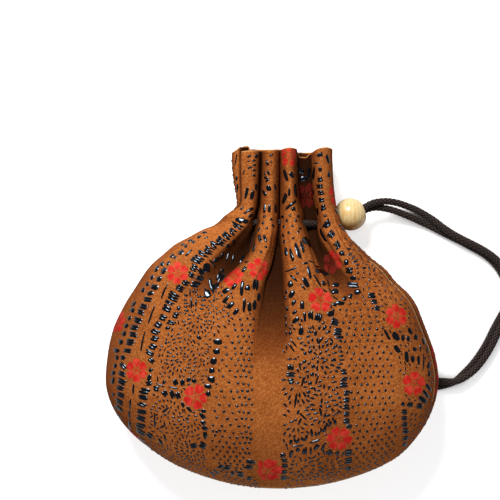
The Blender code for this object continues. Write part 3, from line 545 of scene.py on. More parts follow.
def beadFinish():
    finish = Finish("paleWood", Coat_Weight=0.45, Coat_Roughness=0.12, Roughness=0.38)
    wood = finish.grains(beadLook, finish.place.scaled(beadLook["stretch"]))
    wood["bands"] = finish.bands("X", beadLook["bandScale"], beadLook["bandBend"], **beadLook["bandDetail"])
    height = finish.paint.node("ShaderNodeSeparateXYZ", {}, {"Vector": finish.place}, 1)
    # painted light and shade: paler on the side toward the key light, golden away from it, broken by the wood's
    # broad grain
    paintedLitSide = height.within(bead["place"].y - beadLook["paintedShadeBelow"], bead["place"].y - beadLook["paintedLightAbove"])
    broad = wood["broad"].within(beadLook["broadFrom"], beadLook["broadFull"])
    tone = (broad * paintedLitSide).tint(beadLook["gold"], beadLook["pale"])
    finish.feed("Base Color", finish.layered(tone, wood, beadLook))
    finish.roughen(wood["fine"], beadLook)
    relief = wood["fine"] * beadLook["fineShare"] + wood["bands"] * beadLook["bandShare"]
    finish.feed("Normal", relief.bumps(*beadLook["bumps"]))
    return finish.material


def makeBead():
    radius, bore, lip = bead["diameter"] / 2, bead["bore"] / 2, bead["lip"]
    mouthTurn = math.acos((bore + lip) / radius)
    profile = [(radius * math.cos(turn), radius * math.sin(turn))
               for turn in np.linspace(mouthTurn, -mouthTurn, beadLook["rows"])]
    edge = radius * math.sin(mouthTurn)
    # the mouth's edge is eased by a small round, then the bore runs through
    for turn in np.linspace(0, math.pi / 2, beadLook["lipRows"] + 1)[1:]:
        profile.append((bore + lip * (1 - math.sin(turn)), -edge + lip * (1 - math.cos(turn))))
    for height in np.linspace(-edge + lip, edge - lip, beadLook["boreRows"] + 1)[1:]:
        profile.append((bore, height))
    for turn in np.linspace(math.pi / 2, 0, beadLook["lipRows"] + 1)[1:-1]:
        profile.append((bore + lip * (1 - math.sin(turn)), edge - lip * (1 - math.cos(turn))))
    turnTo = beadAxis().to_track_quat("Z", "Y").to_matrix()
    vertices, faces = [], []
    size, steps = len(profile), beadLook["steps"]
    for step in range(steps):
        turn, after = 2 * math.pi * step / steps, (step + 1) % steps
        for index, (out, height) in enumerate(profile):
            spot = Vector((out * math.cos(turn), out * math.sin(turn), height))
            vertices.append(bead["place"] + turnTo @ spot)
            low = (index + 1) % size
            faces.append((step * size + index, step * size + low, after * size + low, after * size + index))
    piece = addPiece("woodenBead", vertices, faces, [beadFinish()], "bead")
    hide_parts("cord_bead")
    return piece


braid = cordFinish()
makeCord("neckLacing", "neck_cord", neckPoints(), braid)
cordEnds = [makeCord("upperCordEnd", "cord_strand_a", strandPoints(1), braid),
            makeCord("lowerCordEnd", "cord_strand_b", strandPoints(-1), braid)]
endKnot = makeKnot(braid)
woodenBead = makeBead()
for strand, route, length in cordEnds:
    [tuple(point) for point in route[::6]] + [tuple(route[-1])]
print("cord, knot and bead made")


# ---- the form of the leather
class Section:
    # heights and seam places of the pouch at one level
    def __init__(self, level):
        self.level = level
        left, right = (pouch["halfWidth"] * ramp(line, level) for line in (leftOutline, rightOutline))
        self.middle, self.half = (left + right) / 2, (right - left) / 2
        change = ramp(neckChange, level)
        self.top = mix(pouch["bellyTop"], pouch["neckTop"], change)
        self.equator = mix(pouch["bellyEquator"], pouch["neckEquator"], change)
        self.under = mix(-pouch["bellyPress"], pouch["neckUnderside"], ramp(undersideChange, level))
        self.round = ramp(roundness, level)
        self.rise = (self.top - self.equator) * pouch["seamRise"]
        insets = (ramp(leftSeamInset, level), ramp(rightSeamInset, level))
        self.turns = [math.acos(1 - pouch["halfWidth"] * inset / self.half) for inset in insets]
        self.seams = [self.equator + self.rise * math.sin(turn) ** self.round for turn in self.turns]

    def backHeight(self, bow):
        return self.equator - np.where(bow > 0, self.equator - self.under, self.rise) * bow


def rolled(share, soft):
    return (1 - soft) * (1 - np.sqrt(1 - share ** 2)) + soft * np.sin(math.pi / 2 * share) ** 2


def foldDepth(across, level, crests, valleys, fullDepth):
    depth = np.zeros_like(across)
    lines = [pouch["halfWidth"] * ramp(crest, level) for crest in crests]
    for left, right, valley in zip(lines, lines[1:], valleys):
        bottom = pouch["halfWidth"] * ramp(valley["line"], level)
        floor = pouch["halfWidth"] * ramp(valley["floor"], level)
        fromLeft = np.clip((across - left) / (bottom - floor - left), 0, 1)
        fromRight = np.clip((right - across) / (right - bottom - floor), 0, 1)
        softLeft, softRight = ramp(valley["softLeft"], level), ramp(valley["softRight"], level)
        side = np.where(across < bottom, rolled(fromLeft, softLeft), rolled(fromRight, softRight))
        depth += fullDepth * ramp(valley["depth"], level) * side
    return depth


def hasFloor(valley):
    return valley["floor"][-2][1] > 0 or valley["floor"][0][1] > 0


def foldPlaces(level, crests, valleys):
    places = [pouch["halfWidth"] * ramp(crests[0], level)]
    for crest, valley in zip(crests[1:], valleys):
        bottom = pouch["halfWidth"] * ramp(valley["line"], level)
        floor = pouch["halfWidth"] * ramp(valley["floor"], level)
        places += [bottom - floor, bottom + floor] if hasFloor(valley) else [bottom]
        places.append(pouch["halfWidth"] * ramp(crest, level))
    return places


def columnCounts(valleys):
    size = pouch["columns"]
    counts = [size["outer"]]
    for valley in valleys:
        counts += [size["fold"], size["floor"], size["fold"]] if hasFloor(valley) else [size["fold"]] * 2
    return counts + [size["outer"]]


def evenAngles(angles, counts, pointsAt):
    # angles that split each stretch between folds into equal lengths of leather
    result = [angles[0]]
    for start, end, count in zip(angles, angles[1:], counts):
        fine = np.linspace(start, end, 33)
        across, height = pointsAt(fine)
        length = np.concatenate([[0], np.cumsum(np.hypot(np.diff(across), np.diff(height)) + 1e-9)])
        wanted = length[-1] * np.arange(1, count + 1) / count
        result += list(np.interp(wanted, length, fine))
    return np.array(result)


def sectionCurve(section, front):
    # angles of the folds at this level, and the curve through them
    halfWidth, land = pouch["halfWidth"], pouch["fitGap"] / 2 + pouch["seamLand"]
    leftTurn, rightTurn = section.turns
    if front:
        low = section.middle - section.half * math.cos(leftTurn)
        high = section.middle + section.half * math.cos(rightTurn)
        places = foldPlaces(section.level, frontCrests, frontValleys)
        angles = [-math.pi / 2, *(math.asin((2 * at - low - high) / (high - low)) for at in places),
                  math.pi / 2]

        def pointsAt(turns):
            across = (low + high) / 2 + (high - low) / 2 * np.sin(turns)
            base = mix(*section.seams, (across - low) / (high - low)) + land
            arch = np.clip(np.cos(turns), 0, 1) ** section.round
            depth = foldDepth(across, section.level, frontCrests, frontValleys, pouch["frontFold"])
            return across, base + (section.top - base) * arch - depth
    else:
        places = foldPlaces(section.level, backCrests, backValleys)
        angles = [-math.pi / 2 - leftTurn,
                  *(math.asin((at - section.middle) / section.half) for at in places),
                  math.pi / 2 + rightTurn]

        def pointsAt(turns):
            across = section.middle + section.half * np.sin(turns)
            cosine = np.cos(turns)
            bow = np.sign(cosine) * np.abs(cosine) ** section.round
            depth = foldDepth(across, section.level, backCrests, backValleys, pouch["backFold"])
            height = section.backHeight(bow) + np.where(cosine > 0, depth, 0)
            ends = np.interp(turns, (angles[0], 0, angles[-1]), (1, 0, 1)) ** pouch["seamBite"]
            return across, np.maximum(height - land * ends, 0)
    return angles, pointsAt


def upperRow(level, front):
    section = Section(level)
    angles, pointsAt = sectionCurve(section, front)
    angles = evenAngles(angles, columnCounts(frontValleys if front else backValleys), pointsAt)
    across, height = pointsAt(angles)
    share = min(max((level - pouch["rimStart"]) / (1 - pouch["rimStart"]), 0), 1)
    lift = ramp(frontRim if front else backRim, across / pouch["halfWidth"]) * share * share * (3 - 2 * share)
    return np.stack([across, bellyY + pouch["bellyToMouth"] * (level + lift), height], axis=1), angles


def lowerRow(turn, angles, front):
    # a row between the belly line, turn 0, and the base seam, turn pi / 2
    section = Section(0)
    land = pouch["fitGap"] / 2 + pouch["seamLand"]
    drop, level = math.sin(turn), max(math.cos(turn), 0)
    fade = level ** section.round
    left, right = (past * level for past in section.turns)
    if front:
        share = mix(-math.cos(left), math.cos(right), (np.sin(angles) + 1) / 2)
        rises = [section.rise * math.sin(past) ** section.round * fade for past in (left, right)]
        base = section.equator + mix(*rises, (np.sin(angles) + 1) / 2) + land
        height = base + (section.top - base) * np.clip(np.cos(angles), 0, 1) ** section.round * fade
    else:
        ends = np.interp(angles, (angles[0], 0, angles[-1]), (1, 0, 1)) ** pouch["seamBite"]
        angles = np.interp(angles, (angles[0], 0, angles[-1]), (-math.pi / 2 - left, 0, math.pi / 2 + right))
        share = np.sin(angles)
        bow = np.sign(np.cos(angles)) * np.abs(np.cos(angles)) ** section.round * fade
        bite = land * np.maximum(ends, drop ** pouch["seamBite"])
        height = np.maximum(section.backHeight(bow) - bite, 0)
    across = pouch["halfWidth"] * share * math.sqrt(1 - drop ** 2 / 2) + pouch["baseLean"] * drop ** 2
    along = bellyY - pouch["bellyToBase"] * drop * np.sqrt(1 - share ** 2 / 2)
    return np.stack([across, along, height], axis=1)


def pressedByBead(points):
    # the neck's flank gives way where the bead is drawn up against it
    away = points - np.array(bead["place"])
    reach = np.linalg.norm(away, axis=-1, keepdims=True)
    clear = bead["diameter"] / 2 + bead["seat"]
    return np.where(reach < clear, np.array(bead["place"]) + away / np.maximum(reach, 1e-9) * clear, points)


# a painted shade line along the sewn edges, and a painted highlight line along the front's right edge and base
paintedSeamLine = {"width": 0.00062, "base": 0.0009, "from": -0.036, "to": 0.0245, "dark": 0.90, "columns": 2.4}
crumpling = {
    # dents: height, how many to a metre, and how far up their noise is read
    "dents": ((0.00055, 34, 3), (0.00020, 95, 0), (0.00006, 310, 0)),
    # puckers that fan out from the neck, as two ripples across the width
    "pucker": 0.00020, "start": 0.020, "startReach": 0.030, "end": 0.074, "endReach": 0.014,
    "ripples": 23, "sway": 2.2, "swayEach": 90, "share": 0.6,
    "fineRipples": 37, "fineStart": 1.3, "fineLean": 40, "fineShare": 0.4,
    # the pinch under the cord, the still rows and columns at the seam, the lowest leather
    "pinch": 0.00030, "lace": 0.0406, "laceWidth": 0.0017, "pinchFrom": 0.05,
    "stillEdge": 8, "resting": 0.0004, "lowest": 0.00005}
# painted shade: how far to look for ridges, how deep a fold must be for full painted shade, how much it is
# smoothed, and the painted shade on the flanks and on leather that falls away to the base
paintedShadeRules = {
    "reach": 44, "full": 0.0016, "smoothing": 50,
    "flank": 0.50, "flankFrom": 0.30, "flankReach": 0.70,
    "slope": 0.16, "slopeFrom": 0.04, "slopeReach": 0.20, "slopeTo": 0.62, "slopeFade": 0.25}


class Leather:
    # one panel as a fine grid of points: columns from seam to seam, rows from base to rim
    def __init__(self, front):
        self.front = front
        levels = np.linspace(0, 1, pouch["rows"])
        first, angles = upperRow(0, front)
        turns = np.linspace(math.pi / 2, 0, pouch["baseRows"] + 1)[:-1]
        rows = [lowerRow(turn, angles, front) for turn in turns]
        rows += [first] + [upperRow(level, front)[0] for level in levels[1:]]
        self.points = pressedByBead(np.array(rows))
        columns = np.arange(self.points.shape[1])
        self.fromSeam = np.minimum(columns, columns[::-1])[None, :]
        arc = math.pi / 4 * (pouch["bellyToBase"] + pouch["bellyTop"] - pouch["bellyEquator"])
        self.along = np.concatenate([-arc * turns / (math.pi / 2), pouch["bellyToMouth"] * levels])
        self.findNormals()
        self.crumple()
        self.findNormals()
        self.findPaintedShades()

    def findNormals(self):
        self.byColumn = np.gradient(self.points, axis=1)
        self.byRow = np.gradient(self.points, axis=0)
        normal = np.cross(self.byColumn, self.byRow)
        length = np.linalg.norm(normal, axis=-1, keepdims=True)
        self.normals = normal / np.maximum(length, 1e-12) * (1 if self.front else -1)

    def crumple(self):
        # soft dents all over, fine puckers that fan out from the neck, and a pinch under the cord
        look, (rows, columns) = crumpling, self.points.shape[:2]
        soft = np.array([[sum(height * noise.noise(Vector(point) * often + Vector((0, 0, up)))
                              for height, often, up in look["dents"]) for point in row]
                         for row in self.points])
        along = self.along[:, None]
        near = eased(along, look["start"], look["startReach"]) * eased(along, look["end"], -look["endReach"])
        turn = np.arange(columns)[None, :] / columns * 2 * math.pi
        sway = look["sway"] * np.sin(along * look["swayEach"])
        ripple = np.sin(turn * look["ripples"] + sway) * look["share"]
        ripple += (np.sin(turn * look["fineRipples"] + look["fineStart"] + look["fineLean"] * along)
                   * look["fineShare"])
        pucker = look["pucker"] * near * ripple
        fromLace = (self.points[..., 1] - look["lace"]) / look["laceWidth"]
        pinch = -look["pinch"] * np.exp(-fromLace ** 2) * (along > look["pinchFrom"])
        calm = np.clip(np.minimum(self.fromSeam, np.arange(rows)[:, None]) / look["stillEdge"], 0, 1)
        move = (soft + pucker + pinch) * calm
        if not self.front:
            move = np.where(self.points[..., 2] < look["resting"], np.minimum(move, 0), move)
        self.points = self.points + self.normals * move[..., None]
        self.points[..., 2] = np.maximum(self.points[..., 2], look["lowest"])

    def findPaintedShades(self):
        # painted shade: how deep each point lies between the ridges on its two sides, darker the deeper; below
        # 0 is a painted highlight line along an edge
        look = paintedShadeRules
        height = self.points[..., 2] * (1 if self.front else -1)
        sides = []
        for step in (-1, 1):
            highest = height.copy()
            for shift in range(1, look["reach"]):
                moved = np.roll(height, step * shift, axis=1)
                if step > 0:
                    moved[:, :shift] = -1
                else:
                    moved[:, -shift:] = -1
                highest = np.maximum(highest, moved)
            sides.append(highest)
        depth = np.minimum(*sides) - height
        for _ in range(look["smoothing"]):
            depth[1:-1] = (depth[:-2] + depth[1:-1] + depth[2:]) / 3
        paintedShades = 1 - np.exp(-np.maximum(depth, 0) / look["full"])
        # painted shade: flanks are a little darker, and so is leather that falls away to the base
        flank = eased(np.abs(self.normals[..., 0]), look["flankFrom"], look["flankReach"])
        fall = -self.normals[..., 1]
        slope = (eased(fall, look["slopeFrom"], look["slopeReach"])
                 * eased(fall, look["slopeTo"], -look["slopeFade"]))
        # painted shade: the sewn edge sinks into a thin dark line; on the right the front's own edge is a pale
        # one, a painted highlight line, which also runs along the front's base; on the back the same line is
        # painted shade
        seam = np.exp(-(self.fromSeam / paintedSeamLine["columns"]) ** 2)
        for shade in (look["flank"] * flank, look["slope"] * slope, paintedSeamLine["dark"] * seam):
            paintedShades = np.maximum(paintedShades, shade)
        across, along = self.points[..., 0], self.points[..., 1]
        line = np.exp(-((across[:, -1:] - across) / paintedSeamLine["width"]) ** 2)
        line *= (along > paintedSeamLine["from"]) * (along < paintedSeamLine["to"]) * (across > 0)
        if self.front:
            line = np.maximum(line, np.exp(-((along - along[:1]) / paintedSeamLine["base"]) ** 2))
        self.paintedShades = mix(paintedShades, -1 if self.front else paintedSeamLine["dark"], line)

    def blend(self, grid, column, row):
        # values of a grid between its points
        rows, columns = grid.shape[:2]
        column = np.clip(column, 0, columns - 1.001)
        row = np.clip(row, 0, rows - 1.001)
        c, r = column.astype(int), row.astype(int)
        u, v = (column - c)[..., None], (row - r)[..., None]
        low = grid[r, c] * (1 - u) + grid[r, c + 1] * u
        high = grid[r + 1, c] * (1 - u) + grid[r + 1, c + 1] * u
        return low * (1 - v) + high * v

    def at(self, column, row, lift=0.0):
        normal = self.blend(self.normals, column, row)
        normal /= np.linalg.norm(normal, axis=-1, keepdims=True)
        return self.blend(self.points, column, row) + normal * np.asarray(lift)[..., None]

    def rowAt(self, along):
        return float(np.interp(along, self.along, np.arange(len(self.along))))


front = Leather(True)
back = Leather(False)
print("leather formed", front.points.shape, back.points.shape)


# ---- leather finishes; a layer that is full below its start lies on the darker specks
# lit, deep and pale are the leather's own tones; the near black colour and the last layer are painted shade in
# the folds, on the flanks, at the seams and inside the mouth; edge is the cut edge's colour and also that of a
# painted highlight line
leatherLook = {"lit": (0.455, 0.132, 0.028), "deep": (0.275, 0.068, 0.012), "pale": (0.60, 0.215, 0.056),
               "paintedShade": (0.010, 0.0030, 0.0012), "edge": (0.56, 0.29, 0.115),
               "inside": (0.115, 0.036, 0.016), "shade": (0.26, 0.052, 0.011), "pit": 0.35,
               "grains": {"cloud": (38, 4, 0.6), "fine": (1000, 3, 0.7), "speck": (1900, 2, 0.6)},
               "layers": (("cloud", 0.28, 0.66, 1, "lit"), ("fine", 0.50, 0.62, 0.60, "pale"),
                          ("fine", 0.50, 0.36, 0.65, "deep"), ("speck", 0.54, 0.66, 0.45, "pale"),
                          ("speck", 0.45, 0.34, 0.60, "dark"), ("paintedShade", 0.0, 0.40, 0.46, "shade")),
               "paintedShadeStrength": 0.96, "paintedHighlightStrength": 0.9, "rough": (0.72, 0.20),
               "cells": 1250.0, "cellEdge": 0.6, "cellBumps": (0.40, 0.00022),
               "fineShare": 0.6, "speckShare": 0.4, "napBumps": (0.75, 0.00022)}
lacquerLook = {"black": (0.0020, 0.0020, 0.0026), "worn": (0.012, 0.008, 0.008), "glint": (0.66, 0.82, 1.0, 1),
               "grains": {"wear": (620, 3, 0.6), "ripple": (900, 2, 0.5)},
               "layers": (("wear", 0.60, 0.80, 1, "worn"),), "rough": (0.09, 0.08), "bumps": (0.35, 0.00014)}
flowerLook = {"red": (0.58, 0.014, 0.011), "faded": (0.75, 0.066, 0.040), "paintedShadeStrength": 0.86,
              "grains": {"fine": (1300, 4, 0.65), "broad": (420, 2, 0.5)},
              "layers": (("broad", 0.36, 0.70, 1, "faded"), ("fine", 0.52, 0.72, 0.5, "faded"),
                         ("fine", 0.46, 0.30, 0.5, "red")),
              "rough": (0.58, 0.25), "bumps": (0.40, 0.00014)}
liningLook = {"dark": (0.018, 0.009, 0.007), "light": (0.060, 0.026, 0.018), "threads": 420.0, "uneven": 0.6,
              "lightAbove": 0.9, "fluff": 800, "rough": (0.78, 0.2), "bumps": (0.5, 0.00020)}


def suedeFinish(name, lit, deep, pale):
    finish = Finish(name, Specular_IOR_Level=0.03)
    paintedShade = finish.stored("paintedShade")
    suede = {**finish.grains(leatherLook), "paintedShade": paintedShade}
    dark = tuple(part * leatherLook["pit"] for part in deep)
    tone = finish.layered(deep, suede, {**leatherLook, "lit": lit, "deep": deep, "pale": pale, "dark": dark})
    # painted shade: the stored value darkens folds, flanks, seams and the inside of the mouth towards near
    # black, after the layer above has tinted them redder; below 0 it paints a pale highlight line
    tone = (paintedShade * leatherLook["paintedShadeStrength"]).tint(tone, leatherLook["paintedShade"])
    tone = (paintedShade * -leatherLook["paintedHighlightStrength"]).tint(tone, leatherLook["edge"])
    finish.feed("Base Color", tone)
    finish.roughen(suede["fine"], leatherLook)
    cells = finish.paint.node("ShaderNodeTexVoronoi", {"feature": "SMOOTH_F1"}, {
        "Vector": finish.place, "Scale": leatherLook["cells"], "Smoothness": leatherLook["cellEdge"]})
    nap = suede["fine"] * leatherLook["fineShare"] + suede["speck"] * leatherLook["speckShare"]
    finish.feed("Normal", nap.bumps(*leatherLook["napBumps"], cells.bumps(*leatherLook["cellBumps"])))
    return finish.material


def lacquerFinish():
    finish = Finish("blackLacquer", IOR=1.65, Specular_IOR_Level=0.42, Specular_Tint=lacquerLook["glint"])
    grains = finish.grains(lacquerLook)
    finish.feed("Base Color", finish.layered(lacquerLook["black"], grains, lacquerLook))
    finish.roughen(grains["wear"], lacquerLook)
    finish.feed("Normal", grains["ripple"].bumps(*lacquerLook["bumps"]))
    return finish.material


def flowerFinish():
    finish = Finish("redFlowerPrint", Specular_IOR_Level=0.06)
    grains = finish.grains(flowerLook)
    tone = finish.layered(flowerLook["red"], grains, flowerLook)
    # painted shade: the print darkens where the leather under it has painted shade
    paintedShade = finish.stored("paintedShade") * flowerLook["paintedShadeStrength"]
    finish.feed("Base Color", paintedShade.tint(tone, leatherLook["paintedShade"]))
    finish.roughen(grains["fine"], flowerLook)
    finish.feed("Normal", grains["fine"].bumps(*flowerLook["bumps"]))
    return finish.material


def liningFinish():
    finish = Finish("brownCottonLining", Specular_IOR_Level=0.2, Sheen_Weight=0.1)
    warp, weft = (finish.bands(way, liningLook["threads"], liningLook["uneven"]) for way in "XY")
    weave = warp * weft
    level = weave.within(0.0, liningLook["lightAbove"])
    finish.feed("Base Color", level.tint(liningLook["dark"], liningLook["light"]))
    finish.roughen(finish.grain(liningLook["fluff"]), liningLook)
    finish.feed("Normal", weave.bumps(*liningLook["bumps"]))
    return finish.material


tan = suedeFinish("tanSuede", leatherLook["lit"], leatherLook["deep"], leatherLook["pale"])
cutEdge = suedeFinish("cutLeatherEdge", leatherLook["edge"], leatherLook["lit"], leatherLook["pale"])
fleshSide = suedeFinish("fleshSideLeather", leatherLook["inside"], leatherLook["paintedShade"], leatherLook["deep"])
lacquer = lacquerFinish()
petalRed = flowerFinish()
cotton = liningFinish()
print("finishes made")


# ---- panels: the face, its rolled seam edge, the rim's thickness and the inside of the neck
seamRoll = {"rows": 5, "depth": 0.0011, "inward": 0.0022}
rimEdge = {"rows": 5, "round": 2.4, "inside": 0.50, "step": 3, "paintedShadeAfter": 40}
clothGrid = {"step": 4, "start": 2}  # in the leather's rows and columns
finishIndex = {"face": 0, "cut": 1, "flesh": 2}


class Skin:
    # a mesh that grows ring by ring
    def __init__(self):
        self.vertices, self.faces, self.kinds, self.paintedShades = [], [], [], []

    def grid(self, points, paintedShades, flip):
        rows, columns = points.shape[:2]
        start = len(self.vertices)
        self.vertices.extend(points.reshape(-1, 3))
        self.paintedShades.extend(paintedShades.reshape(-1))
        for row in range(rows - 1):
            for column in range(columns - 1):
                a = start + row * columns + column
                self.addFace((a, a + 1, a + columns + 1, a + columns), "face", flip)
        return start

    def ring(self, last, points, paintedShades, kind, flip):
        new = list(range(len(self.vertices), len(self.vertices) + len(points)))
        self.vertices.extend(points)
        self.paintedShades.extend(paintedShades)
        for index in range(len(points) - 1):
            self.addFace((last[index], last[index + 1], new[index + 1], new[index]), kind, flip)
        return new

    def addFace(self, face, kind, flip):
        self.faces.append(face[::-1] if flip else face)
        self.kinds.append(finishIndex[kind])


def declareSheet(piece, points):
    # the size a sheet was cut to: its longest runs both ways, and the area of one face
    width = np.linalg.norm(np.diff(points, axis=1), axis=2).sum(axis=1).max()
    length = np.linalg.norm(np.diff(points, axis=0), axis=2).sum(axis=0).max()
    diagonals = points[1:, 1:] - points[:-1, :-1], points[1:, :-1] - points[:-1, 1:]
    area = np.linalg.norm(np.cross(*diagonals), axis=2).sum() / 2
    print(piece.name, "cut to", round(width, 4), "by", round(length, 4), "area", round(area, 5))


def makePanel(sheet, name, node):
    points, normals, paintedShades = sheet.points, sheet.normals, sheet.paintedShades
    rows, columns = points.shape[:2]
    skin = Skin()
    skin.grid(points, paintedShades, flip=not sheet.front)
    # seam edge: from the rim down the left side, along the base and up the right side
    path = ([(row, 0) for row in range(rows - 1, -1, -1)] + [(0, column) for column in range(1, columns)]
            + [(row, columns - 1) for row in range(1, rows)])
    edge = np.array([points[place] for place in path])
    edgePaintedShades = np.array([paintedShades[place] for place in path])
    flat = np.gradient(edge, axis=0)
    outward = np.stack([flat[:, 1], -flat[:, 0], np.zeros(len(flat))], axis=1)
    outward /= np.maximum(np.linalg.norm(outward, axis=1, keepdims=True), 1e-12)
    if np.sum((edge[len(edge) // 2] - (0, bellyY, 0)) * outward[len(edge) // 2]) < 0:
        outward = -outward
    down = -1 if sheet.front else 1
    last = [row * columns + column for row, column in path]
    steps = [(turn, 0) for turn in np.linspace(0, math.pi / 2, seamRoll["rows"] + 1)[1:]]
    # painted shade: the rolled seam is painted darker as it turns in
    for turn, past in [*steps, (math.pi / 2, seamRoll["inward"])]:
        ring = edge + np.array([0, 0, down * pouch["seamLand"] * math.sin(turn)])
        ring = ring - outward * (seamRoll["depth"] * (1 - math.cos(turn)) + past)
        last = skin.ring(last, ring, mix(edgePaintedShades, 1, math.sin(turn) ** 2), "face", sheet.front)
    # rim: over the cut edge and down the inside
    thickness = pouch["leatherThickness"]
    along = np.gradient(points, axis=0)[-1]
    along = along / np.linalg.norm(along, axis=1, keepdims=True)
    last = [(rows - 1) * columns + column for column in range(columns)]
    for turn in (math.pi * step / rimEdge["rows"] for step in range(1, rimEdge["rows"] + 1)):
        ring = (points[-1] - normals[-1] * thickness / 2 * (1 - math.cos(turn))
                + along * thickness / rimEdge["round"] * math.sin(turn))
        last = skin.ring(last, ring, paintedShades[-1] * 0, "cut", not sheet.front)
    lowest = int(sheet.rowAt(pouch["bellyToMouth"] * rimEdge["inside"]))
    # painted shade: the inside is painted darker the further down from the rim it lies
    for row in range(rows - 1 - rimEdge["step"], lowest, -rimEdge["step"]):
        dark = np.full(columns, min((rows - 1 - row) / rimEdge["paintedShadeAfter"], 1))
        last = skin.ring(last, points[row] - normals[row] * thickness, dark, "flesh", not sheet.front)
    piece = addPiece(name, skin.vertices, skin.faces, [tan, cutEdge, fleshSide],
                     indices=skin.kinds, values={"paintedShade": skin.paintedShades})
    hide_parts(node)
    declareSheet(piece, points)


def makeLining(sheet, name, node):
    # a cloth skin inside the leather, closed round its edges
    top, start, step = (int(sheet.rowAt(pouch["bellyToMouth"] * pouch["liningTop"])), clothGrid["start"],
                        clothGrid["step"])
    rows = list(range(0, top, step)) + [top]
    columns = list(range(start, sheet.points.shape[1] - start, step))
    inset = pouch["leatherThickness"] + pouch["fitGap"]
    skin = Skin()
    outer = (sheet.points - sheet.normals * inset)[np.ix_(rows, columns)]
    inner = (sheet.points - sheet.normals * (inset + pouch["liningThickness"]))[np.ix_(rows, columns)]
    plain = np.zeros(outer.shape[:2])
    skin.grid(outer, plain, flip=not sheet.front)
    within = skin.grid(inner, plain, flip=sheet.front)
    count = len(columns)
    top, end = (len(rows) - 1) * count, count - 1
    border = [*range(count), *range(count + end, top + count, count), *range(top + end - 1, top - 1, -1),
              *range(top - count, 0, -count)]
    for first, second in zip(border, border[1:] + border[:1]):
        skin.addFace((second, first, within + first, within + second), "face", not sheet.front)
    piece = addPiece(name, skin.vertices, skin.faces, [cotton])
    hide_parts(node)
    declareSheet(piece, outer)


makePanel(front, "frontLeather", "front_panel")
makePanel(back, "backLeather", "back_panel")
makeLining(front, "frontCloth", "front_lining")
makeLining(back, "backCloth", "back_lining")
print("panels and linings made")


# ---- pattern: what is where
plainStroke = {"turn": 0, "side": 0, "on": 0, "taper": 0.15, "rise": 1.0}
strokes = {
    # where a mark differs from a plain stroke: its place beside and on along its row, turn its heading
    "pair": ({"length": 0.0038, "width": 0.00142, "turn": 84, "on": -0.00064},
             {"length": 0.0034, "width": 0.00131, "turn": 99, "side": 0.0001, "on": 0.00066}),
    "trio": ({"length": 0.0036, "width": 0.00120, "turn": 80, "on": -0.00095},
             {"length": 0.0030, "width": 0.00097, "turn": 60, "side": 0.0004},
             {"length": 0.0034, "width": 0.00114, "turn": 97, "on": 0.00090}),
    "bar": ({"length": 0.0031, "width": 0.00165, "turn": 86},),
    "shortBar": ({"length": 0.0022, "width": 0.00160, "turn": 80},),
    "blob": ({"length": 0.0031, "width": 0.00234, "turn": 62, "rise": 1.3},),
    "thinLine": ({"length": 0.0084, "width": 0.00064, "rise": 0.6},),
    "fine": ({"length": 0.0017, "width": 0.00071, "rise": 0.7},),
    "short": ({"length": 0.0022, "width": 0.00092, "rise": 0.8},),
    "fineBar": ({"length": 0.0021, "width": 0.00078, "turn": 90, "rise": 0.7},),
    "seed": ({"length": 0.00130, "width": 0.00118, "turn": 20, "rise": 0.85},)}
strokes = {kind: [{**plainStroke, **stroke} for stroke in cut] for kind, cut in strokes.items()}
patternRules = {
    "height": 0.00034, "domed": 0.62, "edgeColumns": 5, "edgeRows": 5, "rimRows": 3, "sides": 10,
    "uneven": 0.12, "unevenSeed": 11, "squareness": 0.75, "lowest": 0.00002,
    "rings": ((1.0, -0.15), (0.80, 0.38), (0.42, 0.80)),  # a mark's outline and height, from its foot up
    "cell": 0.004, "ballPoints": 12, "gap": 0.0001, "shortMark": 0.6, "facing": 0.05,
    "near": 10, "nearReach": 0.0005, "nearSteps": 3,
    "walkSteps": 24, "lengths": (0.86, 1.14), "widths": (0.9, 1.12), "sway": (-9, 9)}
placedRules = {
    # strokes placed on the picture: alone, or side by side in a cluster
    "steepest": 2.2, "wideCluster": 6.3, "fuller": 1.10, "fullerTogether": 1.22, "longer": 1.04,
    "slide": (-0.08, 0.08), "lengths": (0.94, 1.14), "taper": (-0.25, 0.25), "gap": -0.0006,
    "dot": (3.0, 2.7), "dotTurn": (0, 180)}
seedRules = {"rowShare": 0.9, "starts": (0.75, 0.25), "slide": (-0.12, 0.12), "climb": (-0.0004, 0.0004),
             "gap": 0.0002}
rosetteRules = {
    "start": 0.0014, "reach": 0.0090, "fewest": 5, "scatter": (0.97, 1.03), "kept": 0.93, "sway": (-14, 14),
    "lengths": (0.8, 1.2), "taper": 0.1, "rise": 0.75, "gap": 0.00008, "twists": (0, 22, -18),
    # of every four rings three are bold dashes, and the last thin ones that lie along it
    "every": 4, "bold": {"apart": 0.00155, "length": 0.00165, "width": 0.00074, "step": 0.00215},
    "thin": {"apart": 0.0023, "length": 0.0019, "width": 0.00056, "step": 0.0015, "turn": 90}}
fillerRules = {"swirls": ((360, 60), (180, 25)), "lengths": (0.75, 1.25), "taper": 0.1}
petalShape = ((0.25, 0), (0.36, 0.15), (0.52, 0.28), (0.72, 0.34), (0.90, 0.29), (1.0, 0.16), (0.97, 0.07),
              (0.89, 0), (0.97, -0.07), (1.0, -0.16), (0.90, -0.29), (0.72, -0.34), (0.52, -0.28),
              (0.36, -0.15))
stamenShape = ((0.13, 0.02), (0.27, 0.035), (0.34, 0), (0.27, -0.035), (0.13, -0.02))
petalRules = {"lift": 0.00006, "most": 6, "fuller": 1.04, "taken": 0.98, "dot": 0.10, "dotPoints": 8,
              "dotTurn": 5.5}


